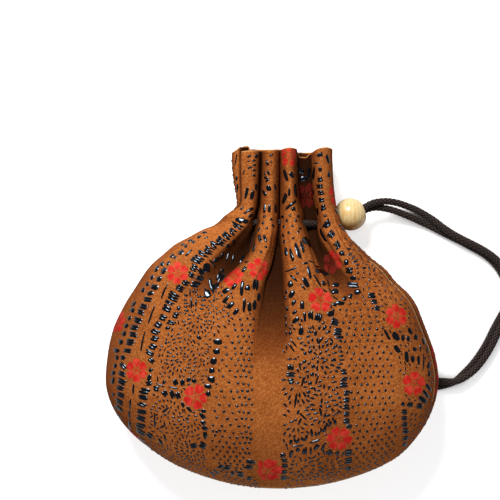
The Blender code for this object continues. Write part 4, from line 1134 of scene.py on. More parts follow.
class Spots:
    # places already taken on the leather, as balls of a given radius
    def __init__(self):
        self.cell, self.cells = patternRules["cell"], {}

    def key(self, place):
        return tuple(int(math.floor(value / self.cell)) for value in place)

    def free(self, place, radius):
        for key in itertools.product(*((value - 1, value, value + 1) for value in self.key(place))):
            for other, size in self.cells.get(key, ()):
                if sum((a - b) ** 2 for a, b in zip(place, other)) < (radius + size) ** 2:
                    return False
        return True

    def take(self, place, radius):
        pieces = [place]
        if radius > self.cell / 2:
            ring = radius - self.cell / 2
            turns = np.linspace(0, 2 * math.pi, patternRules["ballPoints"] + 1)[:-1]
            pieces += [(place[0] + ring * math.cos(turn), place[1] + ring * math.sin(turn), place[2])
                       for turn in turns]
            radius = self.cell / 2
        for piece in pieces:
            self.cells.setdefault(self.key(piece), []).append((tuple(piece), radius))


class Pattern:
    # the marks of one panel, gathered first and meshed together
    def __init__(self, sheet):
        self.sheet = sheet
        self.marks, self.petals = [], []
        self.spots = Spots()
        rows, self.columns = sheet.points.shape[:2]
        self.tree = kdtree.KDTree(rows * self.columns)
        for row in range(rows):
            for column in range(self.columns):
                if sheet.normals[row, column, 2] > patternRules["facing"]:
                    self.tree.insert(self.pictured(sheet.points[row, column]), row * self.columns + column)
        self.tree.balance()

    def pictured(self, point):
        # where the camera's straight lines of sight carry a point, at the level the picture is measured on
        middle = fromPicture(view["picture"] / 2, view["picture"] / 2)
        share = (view["height"] - view["level"]) / (view["height"] - point[2])
        return middle[0] + (point[0] - middle[0]) * share, middle[1] + (point[1] - middle[1]) * share, 0

    def find(self, px, py):
        # column and row under a place on the picture, on the upper layer where the leather folds over
        reach, steps = patternRules["nearReach"], patternRules["nearSteps"]
        near = [(*divmod(index, self.columns), distance)
                for _, index, distance in self.tree.find_n((*fromPicture(px, py), 0), patternRules["near"])]
        close = [spot for spot in near if spot[2] < near[0][2] + reach]
        top = max(close, key=lambda spot: self.sheet.points[spot[0], spot[1], 2])
        near = [spot for spot in near if abs(spot[0] - top[0]) < steps and abs(spot[1] - top[1]) < steps]
        weights = [1 / (distance + 1e-6) for _, _, distance in near]
        return tuple(sum(w * spot[axis] for w, spot in zip(weights, near)) / sum(weights) for axis in (1, 0))

    def read(self, grid, column, row):
        return self.sheet.blend(grid, np.array(column, float), np.array(row, float))

    def spot(self, column, row):
        return self.sheet.at(np.array(column, float), np.array(row, float))

    def steps(self, column, row):
        # how the leather runs for one column and for one row
        return self.read(self.sheet.byColumn, column, row), self.read(self.sheet.byRow, column, row)

    def along(self, column, row):
        return self.steps(column, row)[1]

    def turned(self, column, row, heading, degrees):
        # a heading turned in the leather's own plane
        normal = Vector(self.read(self.sheet.normals, column, row))
        heading = Vector(heading)
        heading = (heading - normal * heading.dot(normal)).normalized()
        turn = math.radians(degrees)
        return np.array(heading * math.cos(turn) + normal.cross(heading) * math.sin(turn))

    def shift(self, column, row, move):
        # the place reached by a small move in space along the leather
        byColumn, byRow = self.steps(column, row)
        gram = np.array([[byColumn @ byColumn, byColumn @ byRow], [byColumn @ byRow, byRow @ byRow]])
        shiftBy = np.linalg.solve(gram + np.eye(2) * 1e-12, np.array([byColumn @ move, byRow @ move]))
        return column + shiftBy[0], row + shiftBy[1]

    def add(self, column, row, length, width, heading, taper, rise, gap):
        # one raised stroke that points along heading, unless something is there already
        rows, columns = self.sheet.points.shape[:2]
        rules = patternRules
        if not (rules["edgeColumns"] < column < columns - 1 - rules["edgeColumns"]
                and rules["edgeRows"] < row < rows - 1 - rules["rimRows"]):
            return
        place = self.spot(column, row)
        heading = np.asarray(heading, float) / max(np.linalg.norm(heading), 1e-9)
        half = max(length - width, 0) / 2
        stops = [0] if half < width * rules["shortMark"] else [-1, 0, 1]
        places = [place + heading * half * stop for stop in stops]
        if all(self.spots.free(stop, width / 2 + gap) for stop in places):
            for stop in places:
                self.spots.take(stop, width / 2)
            self.marks.append((column, row, length / 2, width / 2, taper, rise, *heading))

    def onPicture(self, px, py, degrees, length, width, count=1):
        # strokes side by side whose place, heading and size are read off the picture
        rules, together = placedRules, count > 1
        column, row = self.find(px, py)
        normal = self.read(self.sheet.normals, column, row)
        turn = math.radians(degrees)
        forward, side = (np.array([math.cos(aim), math.sin(aim),
                                   -(normal[0] * math.cos(aim) + normal[1] * math.sin(aim)) / normal[2]])
                         for aim in (turn, turn + math.pi / 2))
        length = length * view["pixel"] * min(np.linalg.norm(forward), rules["steepest"])
        wide = min(np.linalg.norm(side), rules["steepest"])
        step = side / np.linalg.norm(side) * view["pixel"] * wide * width / count
        wide = np.linalg.norm(step) * rules["fullerTogether" if together else "fuller"]
        for place in range(count):
            on = shaker.uniform(*rules["slide"]) * length if together else 0
            c, r = self.shift(column, row, step * (place - (count - 1) / 2)
                              + forward / np.linalg.norm(forward) * on)
            long = length * (shaker.uniform(*rules["lengths"]) if together else rules["longer"])
            self.add(c, r, long, wide, forward, shaker.uniform(*rules["taper"]), 1.0, rules["gap"])

    def group(self, column, row, heading, kind, gap=patternRules["gap"]):
        # all strokes of one kind of mark at a place
        rules = patternRules
        forward, side = (self.turned(column, row, heading, turn) for turn in (0, 90))
        for stroke in strokes[kind]:
            c, r = self.shift(column, row, side * stroke["side"] + forward * stroke["on"])
            length = stroke["length"] * shaker.uniform(*rules["lengths"])
            width = stroke["width"] * shaker.uniform(*rules["widths"])
            turn = stroke["turn"] + shaker.uniform(*rules["sway"])
            self.add(c, r, length, width, self.turned(c, r, heading, turn), stroke["taper"],
                     stroke["rise"], gap)

    def stripe(self, places, kind, step):
        # marks at even steps along a path of (column, row) places
        fine = splined([(*self.spot(*place), *place) for place in places], patternRules["walkSteps"])
        flat = self.sheet.at(fine[:, 3], fine[:, 4])
        lengths = runLengths(flat)
        for want in np.arange(step / 2, lengths[-1], step):
            column, row = (np.interp(want, lengths, fine[:, axis]) for axis in (3, 4))
            ahead, behind = (np.array([np.interp(want + reach, lengths, flat[:, axis]) for axis in range(3)])
                             for reach in (step / 3, -step / 3))
            self.group(column, row, ahead - behind, kind)

    def flower(self, column, row, radius, turn, petals):
        self.petals.append((column, row, radius, turn, petals))
        self.spots.take(self.spot(column, row), radius * petalRules["taken"])

    def between(self, left, right, share, row):
        # a column between two paths at a row
        ends = [np.interp(row, *zip(*sorted((r, c) for c, r in path))) for path in (left, right)]
        return mix(*ends, share)

    def seeds(self, left, right, low, high, step):
        # staggered dots between two paths
        rules = seedRules
        for index, along in enumerate(np.arange(low, high, step * rules["rowShare"])):
            row = self.sheet.rowAt(along)
            ends = [self.between(left, right, share, row) for share in (0, 1)]
            count = max(int(np.linalg.norm(self.spot(ends[0], row) - self.spot(ends[1], row)) / step), 1)
            for place in range(count):
                share = (place + rules["starts"][index % 2] + shaker.uniform(*rules["slide"])) / count
                r = self.sheet.rowAt(along + shaker.uniform(*rules["climb"]))
                c = self.between(left, right, share, r)
                self.group(c, r, self.along(c, r), "seed", rules["gap"])

    def rosette(self, index, column, row, left, right, size=1.0):
        # rings of short dashes round a middle, kept between two paths
        rules, along = rosetteRules, self.along(column, row)
        twist = rules["twists"][index % len(rules["twists"])]
        self.group(column, row, along, "seed")
        ring, radius = 0, rules["start"] * size
        while radius < rules["reach"]:
            cut = rules["thin" if ring % rules["every"] == rules["every"] - 1 else "bold"]
            count = max(int(2 * math.pi * radius / (cut["apart"] * size)), rules["fewest"])
            start = shaker.uniform(0, 360)
            for place in range(count):
                out = self.turned(column, row, along, start + 360 * place / count)
                c, r = self.shift(column, row, out * radius * shaker.uniform(*rules["scatter"]))
                low, high = (self.between(left, right, share, r) for share in (0, 1))
                if low < c < high and shaker.random() < rules["kept"]:
                    turn = cut.get("turn", twist) + shaker.uniform(*rules["sway"])
                    length = cut["length"] * size * shaker.uniform(*rules["lengths"])
                    self.add(c, r, length, cut["width"] * size, self.turned(c, r, out, turn), rules["taper"],
                             rules["rise"], rules["gap"])
            radius += cut["step"] * size
            ring += 1

    def filler(self, left, right, low, high, count, kinds, gap):
        # short dashes that lie along a slow swirl, wherever there is still room
        for _ in range(count):
            row = self.sheet.rowAt(shaker.uniform(low, high))
            column = self.between(left, right, shaker.random(), row)
            place = Vector(self.spot(column, row))
            swirl = sum(most * noise.noise(place * often) for most, often in fillerRules["swirls"])
            stroke = strokes[shaker.choice(kinds)][0]
            self.add(column, row, stroke["length"] * shaker.uniform(*fillerRules["lengths"]), stroke["width"],
                     self.turned(column, row, self.along(column, row), swirl), fillerRules["taper"],
                     stroke["rise"], gap)


def stampMarks(pattern, name):
    # every mark as a small domed drop of lacquer that follows the leather under it
    sheet, rules = pattern.sheet, patternRules
    marks = np.array(pattern.marks)
    column, row = marks[:, 0], marks[:, 1]
    byColumn, byRow = pattern.steps(column, row)
    normal = sheet.blend(sheet.normals, column, row)
    normal /= np.linalg.norm(normal, axis=1, keepdims=True)
    heading = marks[:, 6:9] - normal * np.sum(marks[:, 6:9] * normal, axis=1, keepdims=True)
    heading /= np.maximum(np.linalg.norm(heading, axis=1, keepdims=True), 1e-9)
    side = np.cross(heading, normal)
    sides, rings = rules["sides"], rules["rings"]
    turns = (np.arange(sides) + 0.5) * 2 * math.pi / sides
    ways = [np.sign(way) * np.abs(way) ** rules["squareness"] for way in (np.cos(turns), np.sin(turns))]
    wild = np.random.default_rng(rules["unevenSeed"])
    uneven = 1 + wild.uniform(-1, 1, (len(marks), sides)) * rules["uneven"]
    shape = []
    for scale, lift in rings:
        on = marks[:, 2:3] * ways[0] * scale * uneven
        off = marks[:, 3:4] * ways[1] * scale * uneven * (1 + marks[:, 4:5] * np.cos(turns))
        shape.append((on, off, np.full_like(on, lift)))
    centre = np.zeros((len(marks), 1))
    shape.append((centre, centre, centre + 1.0))
    on, off, lift = (np.concatenate(part, axis=1) for part in zip(*shape))
    move = on[..., None] * heading[:, None] + off[..., None] * side[:, None]
    a, b, d = (np.sum(one * two, 1)[:, None] for one, two in
               ((byColumn, byColumn), (byColumn, byRow), (byRow, byRow)))
    whole = np.maximum(a * d - b * b, 1e-18)
    moveColumn, moveRow = (np.sum(move * step[:, None], 2) for step in (byColumn, byRow))
    columns = column[:, None] + (moveColumn * d - moveRow * b) / whole
    rows = row[:, None] + (moveRow * a - moveColumn * b) / whole
    height = np.minimum(marks[:, 3:4] * rules["domed"], rules["height"]) * marks[:, 5:6]
    vertices = sheet.at(columns, rows, lift * height).reshape(-1, 3)
    vertices[:, 2] = np.maximum(vertices[:, 2], rules["lowest"])
    size, top = len(rings) * sides + 1, (len(rings) - 1) * sides
    one = [(ring * sides + k, (ring + 1) * sides + k, (ring + 1) * sides + (k + 1) % sides,
            ring * sides + (k + 1) % sides) for ring in range(len(rings) - 1) for k in range(sides)]
    one += [(top + k, size - 1, top + (k + 1) % sides) for k in range(sides)]
    if not sheet.front:
        one = [face[::-1] for face in one]
    faces = [tuple(start + corner for corner in face)
             for start in range(0, size * len(marks), size) for face in one]
    print(name, len(marks), "marks")
    addPiece(name, vertices, faces, [lacquer])


def stampFlowers(pattern, name):
    # notched petals round a small middle, printed flat on the leather
    sheet, rules = pattern.sheet, petalRules
    vertices, faces, paintedShades = [], [], []

    def patch(column, row, outline):
        start, count = len(vertices), len(outline)
        middle = np.mean(outline, axis=0)
        for share in (0.0, 0.5, 1.0):
            for move in (outline if share else [middle]):
                c, r = (np.array(float(at)) for at in pattern.shift(column, row, mix(middle, move, share)))
                vertices.append(sheet.at(c, r, rules["lift"] if share < 1 else rules["lift"] / 3))
                # each point takes the painted shade of the leather under it
                paintedShades.append(float(sheet.blend(sheet.paintedShades[..., None], c, r)[0]))
        for k in range(count):
            n = (k + 1) % count
            faces.append((start, start + 1 + k, start + 1 + n))
            faces.append((start + 1 + k, start + 1 + count + k, start + 1 + count + n, start + 1 + n))

    for column, row, radius, turn, petals in pattern.petals:
        up = pattern.turned(column, row, pattern.along(column, row), 0)
        right = -pattern.turned(column, row, up, 90)
        size = radius * (1.0 if petals == rules["most"] else rules["fuller"])
        shapes = ((petalShape, rules["most"] / petals), (stamenShape, 1))
        for petal in range(2 * petals):
            # petals and stamens by turns
            aim = turn + math.pi * petal / petals
            out, over = up * math.cos(aim) + right * math.sin(aim), right * math.cos(aim) - up * math.sin(aim)
            points, widen = shapes[petal % 2]
            patch(column, row, np.array([out * size * on + over * size * off * widen for on, off in points]))
        patch(column, row, np.array([(math.cos(aim) * up + math.sin(aim) * right) * radius * rules["dot"]
                                     for aim in np.linspace(0, rules["dotTurn"], rules["dotPoints"])]))
    faces = [face if sheet.front else face[::-1] for face in faces]
    addPiece(name, vertices, faces, [petalRed], values={"paintedShade": paintedShades})


# ---- front pattern, placed on the picture
frontFlowers = (
    # place on the picture, size, turn and petals
    (177, 272.5, 0.0050, 0.3, 6), (136.5, 370, 0.0051, 0.0, 6), (195.5, 397, 0.0052, 0.5, 5),
    (118, 322, 0.0049, 0.2, 6), (259.5, 269, 0.0050, 0.4, 6), (233, 277, 0.0047, 0.9, 6),
    (288.5, 155.5, 0.0046, 0.1, 5), (305, 196, 0.0052, 0.6, 6), (335, 195, 0.0048, 0.1, 5),
    (332, 262, 0.0052, 0.55, 6), (320.5, 300, 0.0051, 0.1, 5), (397, 316, 0.0052, 0.3, 6),
    (414.5, 383.5, 0.0052, 0.1, 5), (339, 439, 0.0053, 0.6, 6), (265, 471.5, 0.0062, 0.52, 6),
    (131, 441, 0.0048, 0.2, 6))
frontPaths = {
    "edge": ((112, 391), (115, 404), (121, 424)),
    "second": ((119, 421), (122, 432)),
    "bold": ((149, 450), (156, 458)),
    "inner": ((228, 247), (207.7, 267), (195.7, 284), (178, 308), (168, 328), (160, 350), (157, 378),
              (152, 405), (150, 432), (156, 456)),
    "beads": ((247, 292), (240, 306), (228, 328), (218.5, 342), (216, 351), (213.5, 370), (208.5, 393),
              (203.5, 415), (205, 437), (203, 447), (206, 462)),
    "seedLeft": ((256, 300), (250, 308), (240, 312), (226, 335), (221, 351), (216, 375), (213, 400),
                 (210, 430), (213, 462)),
    "seedRight": ((258, 296), (256.5, 310), (255, 330), (254, 351), (253, 385), (252, 420),
                  (251, 448), (252, 464)),
    "bareRight": ((283, 290), (284, 320), (284, 360), (284, 400), (283, 440), (283, 478)),
    "rightBars": ((334.7, 321.6), (338, 332), (341, 350), (344, 372), (346.4, 396), (347, 420), (348, 452),
                  (348, 468)),
    "rightSeedEdge": ((352, 298), (362, 299), (382, 320), (393, 350), (392, 369), (394, 400), (397, 430),
                      (394, 452)),
    "farBars": ((373.4, 295), (377.3, 308), (388, 330), (397, 348), (401, 380), (404.5, 408), (405.5, 425),
                (406, 446)),
    "ridge": ((319, 172), (320.5, 185), (322, 205), (328, 224), (332, 235), (341.3, 254), (349.3, 270.6),
              (354, 285))}
frontStripes = (
    # path, kind of mark, step
    ("bold", "pair", 0.00315), ("second", "bar", 0.0030), ("edge", "shortBar", 0.0031),
    ("rightBars", "trio", 0.0032))
frontMarks = (
    # single strokes: place on the picture, the way they point in degrees, length and width in its pixels
    # first ridge and the fold behind it
    (248.5, 156.5, 30, 4, 2.2), (248, 161, 10, 3, 1.4), (248.5, 167.5, 30, 3.5, 2.2),
    (254.5, 160.5, 0, 4, 2), (254.3, 165, 0, 4, 2.2), (254.3, 170.3, 0, 4, 2.2), (254, 175.5, 0, 4.5, 2.2),
    (257, 156, 50, 5, 2.6), (246, 193.5, 80, 13, 3.2), (252.5, 195, 78, 10, 3.8), (256.5, 187, 80, 7, 2.4),
    (243, 172, 75, 6, 1.4), (241.5, 208, 45, 5, 2.2), (248, 210.5, 30, 12, 3.2), (251.5, 215.5, 30, 6, 2.4),
    (241, 220.5, -18, 14, 6.2),
    # second ridge
    (264.5, 155, 45, 5, 2.6), (271.5, 155, 32, 5, 2.2), (266.5, 163, 110, 6, 2.6), (271.5, 162, 80, 3, 1.4),
    (268.3, 172.5, 105, 6, 2.2), (264.5, 174, 75, 3, 1.8), (265.5, 177.7, -20, 5, 2.6),
    (267, 180.5, 35, 5, 2.6), (268, 188.3, 110, 7, 5), (275.5, 187.5, 95, 7, 1.8),
    (263.7, 193, 125, 7, 2.6), (264.2, 208.5, 90, 9, 2.5), (269.3, 208.3, 87, 9, 3), (276, 208.7, 92, 9, 3),
    (259, 238, 108, 7.5, 3.2), (265, 238.5, 115, 9, 3.4), (253.6, 247, 80, 10, 2), (242, 258.5, 62, 8, 3),
    (244, 269.5, 60, 7, 3.6), (238, 277.5, 60, 5, 3), (246, 261.5, 0, 4, 1.5),
    # third ridge
    (285.3, 175.5, 108, 13, 3.6), (292, 175, 115, 7, 4.4), (289, 192, 88, 9, 2.7), (296, 190.5, 95, 14, 3),
    (284, 198.5, 66, 11, 3.8), (291, 204.7, 38, 17, 3.4), (293.7, 209, 0, 5, 4), (285.5, 251.5, 97, 9, 3.2),
    (291, 254.8, 106, 14, 3.3), (297.8, 250.7, 107, 17, 4), (302.5, 246.8, 103, 13, 3),
    (306, 263, 15, 6, 2.6), (312, 262, -25, 8, 1.4), (317, 266.5, -10, 6, 1.6),
    (309.8, 272.5, 103, 13, 3.2), (306, 282, 115, 11, 5), (290, 270, 20, 14, 2), (297.5, 273.5, 0, 3, 2.6),
    (293.5, 278, -42, 10, 2.2), (303.5, 287.5, -52, 8, 2.2), (290, 284, 95, 7, 5.4),
    (291.5, 294, 60, 8.5, 5), (286, 292, 80, 4, 2.4), (285, 298, -60, 4, 2), (286.5, 309, 100, 5, 2.6),
    (293.5, 303, 60, 7, 4), (302, 305, 92, 9.5, 4.4), (294.5, 312.5, 35, 6, 3.4),
    (295.5, 320.5, 38, 8, 4.6), (304.8, 317, 95, 11, 3), (301, 330.8, 80, 8.5, 5), (310, 328, 0, 4, 2.4),
    (319.5, 328, 75, 5, 2.4), (324.5, 328, 55, 6, 3), (309, 331.5, 5, 5, 2.4), (328, 332, 30, 6, 2.6),
    (315.5, 333.5, 90, 6, 3), (308, 336.5, 15, 4, 3), (320.5, 340, 52, 9, 3), (290, 333, 60, 5, 3),
    (285.6, 318, 92, 6, 1.6), (286, 325, 88, 6, 1.6), (286, 333, 92, 5, 1.6), (286, 347, 100, 6, 1.5),
    (293.5, 343, -50, 10, 2), (291.5, 348, -55, 11, 2),
    # wide valley and the fourth ridge
    (300.5, 171, -20, 9, 4.4), (304, 179, 10, 8, 5), (298.5, 164, 60, 4, 2), (309, 173, 88, 11, 3.2),
    (313, 173.5, 83, 13, 2.6), (313, 192, 90, 5, 3), (313, 197.5, 80, 5, 3), (317, 212, 100, 8, 3),
    (319.5, 155, 20, 7.5, 4), (328.3, 159, 108, 10, 3.2), (332.5, 151.5, 110, 6, 2.6),
    (315.5, 163, 0, 7, 1.6), (319.5, 169.5, 110, 5.5, 4), (329.5, 174.5, 80, 6, 3), (325, 216, 30, 3.4, 3),
    (337, 212, 110, 7, 2.6), (322.5, 235.5, 118, 15, 2.8), (308, 241.5, -25, 8.5, 5),
    (311, 250.5, -25, 9.5, 5.4), (314.8, 259, -35, 8, 5.6), (322.5, 271.5, -45, 8, 3),
    (324, 276.5, -32, 8, 4.6), (324, 283, 120, 6, 3.6), (317.5, 280, -60, 16, 1.8),
    (325.5, 290.5, -35, 6, 1.6), (329, 283, 100, 8, 1.5), (332, 291, -55, 8, 1.5), (336, 298, -35, 8, 1.5),
    (327.5, 297, -55, 7, 1.8), (331, 307, -60, 4, 2), (336, 284.5, -10, 7.5, 4.8),
    (336, 291, -22, 7.5, 5.2), (341.5, 253.5, 10, 6.4, 5.6), (346.5, 262.5, 80, 6.5, 5),
    (352.5, 278.5, 0, 6.5, 4.4), (357.5, 292, 10, 7, 5), (350.5, 296, 60, 5.5, 4.4),
    (345, 298.3, 80, 5.5, 4.4), (340.5, 303, -5, 9, 4.2), (334.5, 304.5, -20, 5, 3.4),
    (331, 314, 10, 7.5, 5.4), (349, 248.5, 0, 6, 2), (351, 253.5, 20, 4, 2), (354, 257, 40, 4, 2),
    (356.5, 260.5, 20, 5, 2), (357.5, 264.5, 0, 4, 2), (357.5, 268, 0, 3, 2), (358.5, 272.5, 20, 3, 2),
    (365, 267.5, 10, 4, 2.4), (370, 268, 90, 4, 1.8), (374.5, 269.5, 60, 4, 2), (370, 280, 80, 4, 2),
    # left shoulder and lobe
    (204, 231.8, -10, 6, 2.5), (199, 236.8, 20, 5, 2.8), (206, 237, 25, 5, 1.6), (189.5, 240, 35, 4.4, 2.6),
    (192.8, 241.2, 30, 4, 3), (182.5, 244.5, 40, 4, 2.2), (185.5, 246, 30, 4, 3),
    (180.3, 251.5, 35, 7, 3.8), (188.5, 252.5, 43, 10, 2.2), (171.8, 255.7, 35, 5.5, 3),
    (174.5, 257.2, 40, 4, 2.6), (167.7, 263, 55, 5.4, 2.8), (161.9, 263.6, 50, 5.4, 4),
    (156, 268.7, 75, 7, 3.8), (163.5, 270.6, 50, 8, 4.6), (151.6, 277, 65, 5.4, 3.8),
    (158.5, 278.6, 10, 6.6, 5.4), (146.6, 283.8, 50, 4.8, 3.8), (142.5, 290, 30, 5, 4.2),
    (154, 286.5, -15, 8.5, 5.8), (150, 293, 20, 7, 4.6), (163.3, 290.8, 66, 18, 1.9),
    (151.5, 314, 70, 21, 1.9), (142.5, 341, 78, 20, 2), (133, 389, 85, 11, 2.2), (130, 404.5, 88, 12, 2),
    (129, 415, 88, 8, 2.2), (129, 425.5, 87, 11, 2), (133.5, 303.6, 20, 5.4, 4),
    (131.5, 310, -30, 5.4, 4.6), (129, 318, 40, 5.4, 3.4), (126, 326, 20, 5, 4.4),
    (123.6, 333.5, 20, 5.4, 4.6), (120.6, 342, 80, 6.4, 4.6), (116.2, 350.6, -10, 6.6, 4.8),
    (116.6, 357.6, 70, 5.4, 4), (114.6, 366, 40, 4.6, 4), (112.8, 373, 20, 5.2, 4.4),
    (112.6, 380.6, 60, 7, 4), (123, 357.5, 0, 5.4, 4.6), (150.8, 370, 30, 5, 3.8),
    (149.5, 377.5, 60, 7, 4.2), (178.5, 308, 70, 5, 3.6), (167.5, 328, 10, 5.4, 3), (207, 268, 80, 10, 8),
    (207.5, 293.5, 105, 9, 6), (211, 286, 107, 18, 3.8), (222.5, 270.5, 120, 5.5, 3), (216, 286, 72, 7, 5),
    (222, 286.5, 48, 12, 2.7), (225.5, 290.7, 30, 8, 4.8), (233.5, 286.5, 52, 8, 3.8),
    (241.2, 288, 83, 16, 3.9), (247.8, 288, 75, 6.5, 5.6), (226, 299, 52, 10, 3.6),
    (230.5, 305, 45, 9.5, 4.8), (235.5, 312, 50, 8, 4.4), (244.3, 305.5, 86, 14, 3.2),
    (249.6, 307, 92, 9.5, 4.4), (255, 305, 88, 10, 4), (259, 297, 85, 9, 3.5), (217, 260, 45, 8, 3.4),
    (213, 263.5, -50, 10, 2.2), (222, 256, 62, 8, 2.2), (228, 257, 70, 9, 2.2), (233, 258, 76, 9, 2.2),
    (228, 246, 40, 4, 3), (234, 242, 40, 4, 3), (191.3, 303, 90, 12, 1.9), (196, 303, 88, 8, 1.9),
    (190, 293, 92, 7, 1.9), (193.5, 291, 80, 5, 1.7), (196.5, 291, 60, 5, 1.7), (185.5, 295, -20, 5, 2.4),
    (185.5, 300, -10, 4, 2), (186, 303.2, 0, 4, 2), (185.5, 306.7, 0, 4, 2.2), (186.5, 310.5, -10, 5, 2.2),
    (199, 297, 15, 4.4, 2), (203.5, 300.5, 0, 5.4, 2), (203, 305.2, -12, 5.4, 2), (202, 309, -10, 4.4, 2),
    (199, 337.5, -35, 6, 3.6), (164, 382, 0, 4.2, 4), (160, 385, -22, 10, 1.7), (173, 388, -12, 11, 1.7),
    (182.5, 404.5, -60, 6.4, 3.2), (189, 409.5, -45, 8, 2.8), (188.5, 380, 40, 5.4, 4.2),
    (194, 380.5, -40, 5.4, 4), (165, 410.5, 35, 8, 2.6), (163, 426.5, 30, 7, 2),
    (154.5, 420.5, 90, 16, 1.8), (217.5, 342, -10, 9, 6), (216.5, 351.5, 0, 7.4, 5.6),
    (213.5, 361.5, 50, 7.6, 6.6), (211.5, 370.5, 0, 6.2, 5.2), (211, 379, -10, 8, 5.6),
    (207.5, 386.5, -10, 8, 4.6), (208, 394, -60, 5.4, 5), (204, 411, -10, 5.4, 3.6),
    (202.5, 415.8, -50, 8, 4), (203, 423, -30, 6.4, 4.2), (204.5, 428.5, -20, 6.4, 4.4),
    (205, 436, -80, 8, 4.2), (160, 441.5, -60, 8, 3), (165, 438, -70, 8, 2.2), (220.5, 467, 30, 7, 4),
    (232.5, 474, 85, 6, 4), (216, 472, -45, 9, 2.2), (212.5, 474, -45, 9, 2), (118.5, 408.5, -35, 10, 3.4),
    (117.5, 415.5, -45, 9, 2.6),
    # right lobe
    (300, 367, -75, 8, 1.6), (303, 381, 72, 12, 2.2), (296, 401, 82, 16, 2.2), (303.5, 416.5, -45, 11, 2.2),
    (298.5, 412, 70, 6, 2.2), (300, 421.5, 65, 8, 2.2), (321, 412.5, -75, 10, 2.4),
    (321.5, 406, -60, 5, 2.2), (317.5, 379, 70, 10, 1.9), (327.5, 367.5, -25, 6.4, 2.2),
    (325, 361, 38, 8, 2.3), (332, 365, -20, 6, 2.2), (305, 353.5, 0, 3.8, 3.5),
    (310.5, 351.5, 40, 5.4, 3.6), (304.5, 361.5, 0, 4.2, 3.6), (313.5, 366.5, 0, 4.4, 4),
    (312.5, 374.5, 0, 4.2, 3.6), (310.5, 383, 0, 4.2, 3.7), (308.5, 392, 0, 4.2, 3.6),
    (333.5, 360, 0, 5.4, 3.6), (387.5, 335, -62, 12, 3), (396.5, 336.5, -50, 10, 6),
    (397.5, 349, -50, 9.5, 5.2), (403.5, 338, -85, 6.4, 3.6), (408.5, 338.5, -85, 6.4, 3.6),
    (416, 337, 60, 5.6, 4.6), (411, 331, -60, 7.4, 4.2), (424.5, 341, -85, 7.4, 3),
    (415.5, 349, 0, 4.6, 4.2), (420.5, 348, 85, 8, 1.7), (428, 349, 85, 9, 2), (407, 357, -85, 11, 4.6),
    (413, 359, 90, 7.4, 4.2), (418.7, 360.5, 90, 9.4, 3.1), (424, 362, 88, 18, 1.5),
    (429.3, 365, 75, 8, 3.2), (429.8, 373.5, 80, 7, 3), (429.5, 387.5, -50, 10, 3.6),
    (427, 394.5, -50, 11, 3.6), (423.3, 400, -35, 11, 5), (403.5, 404, 80, 4.4, 3.8),
    (291, 442, 75, 5.6, 3.2), (295.5, 441.5, -62, 5.4, 2.4), (298.3, 440.6, 65, 6.4, 2.5),
    (303, 439.3, -58, 5.4, 2.7), (306.6, 437.6, 70, 6.8, 2.7), (312, 433, -80, 8.4, 3),
    (316.3, 434, -75, 5.4, 2.2), (319.2, 433, 70, 5.6, 2.3), (322, 430, -60, 5.4, 2.2),
    (325.2, 428.6, 75, 7.2, 3), (328, 425, -60, 5.2, 2.2), (330.6, 423.6, 80, 5.6, 2.7),
    (335, 422, -70, 5.6, 3.2), (297.5, 446, 6, 12, 1.9), (314.5, 441.5, 17, 13, 2.1),
    (291.5, 453, 70, 6.4, 3.7), (298, 450, 40, 4.6, 4.2), (311, 451, 90, 8, 2.2),
    (316.5, 447.2, 50, 7.4, 4.2), (323, 448, 75, 7, 3.1), (337.5, 453.5, 0, 4.6, 4.2),
    (340.5, 341, -20, 5, 2.5), (340, 347, -10, 4.6, 2.5), (340.8, 351.7, -5, 4.6, 2.4),
    (341, 356, -5, 5, 2.5), (341.5, 360, 0, 5, 2.2), (340.5, 364, 0, 6, 2.2), (338.5, 367.5, -20, 5, 2.5),
    (336.5, 371, -35, 4.4, 2.5), (319.5, 347, 100, 5, 2.1), (323, 346, 80, 5, 2.1),
    (327.5, 345, 75, 5, 2.4), (331.5, 343.5, 65, 5, 2.5), (336, 346, 50, 5, 2.5),
    (328.5, 406.5, 10, 5.4, 2.5), (336.5, 405, 5, 5.4, 2.2), (328.5, 415.5, 0, 5.2, 2.5),
    (337, 413, 0, 4.4, 2))
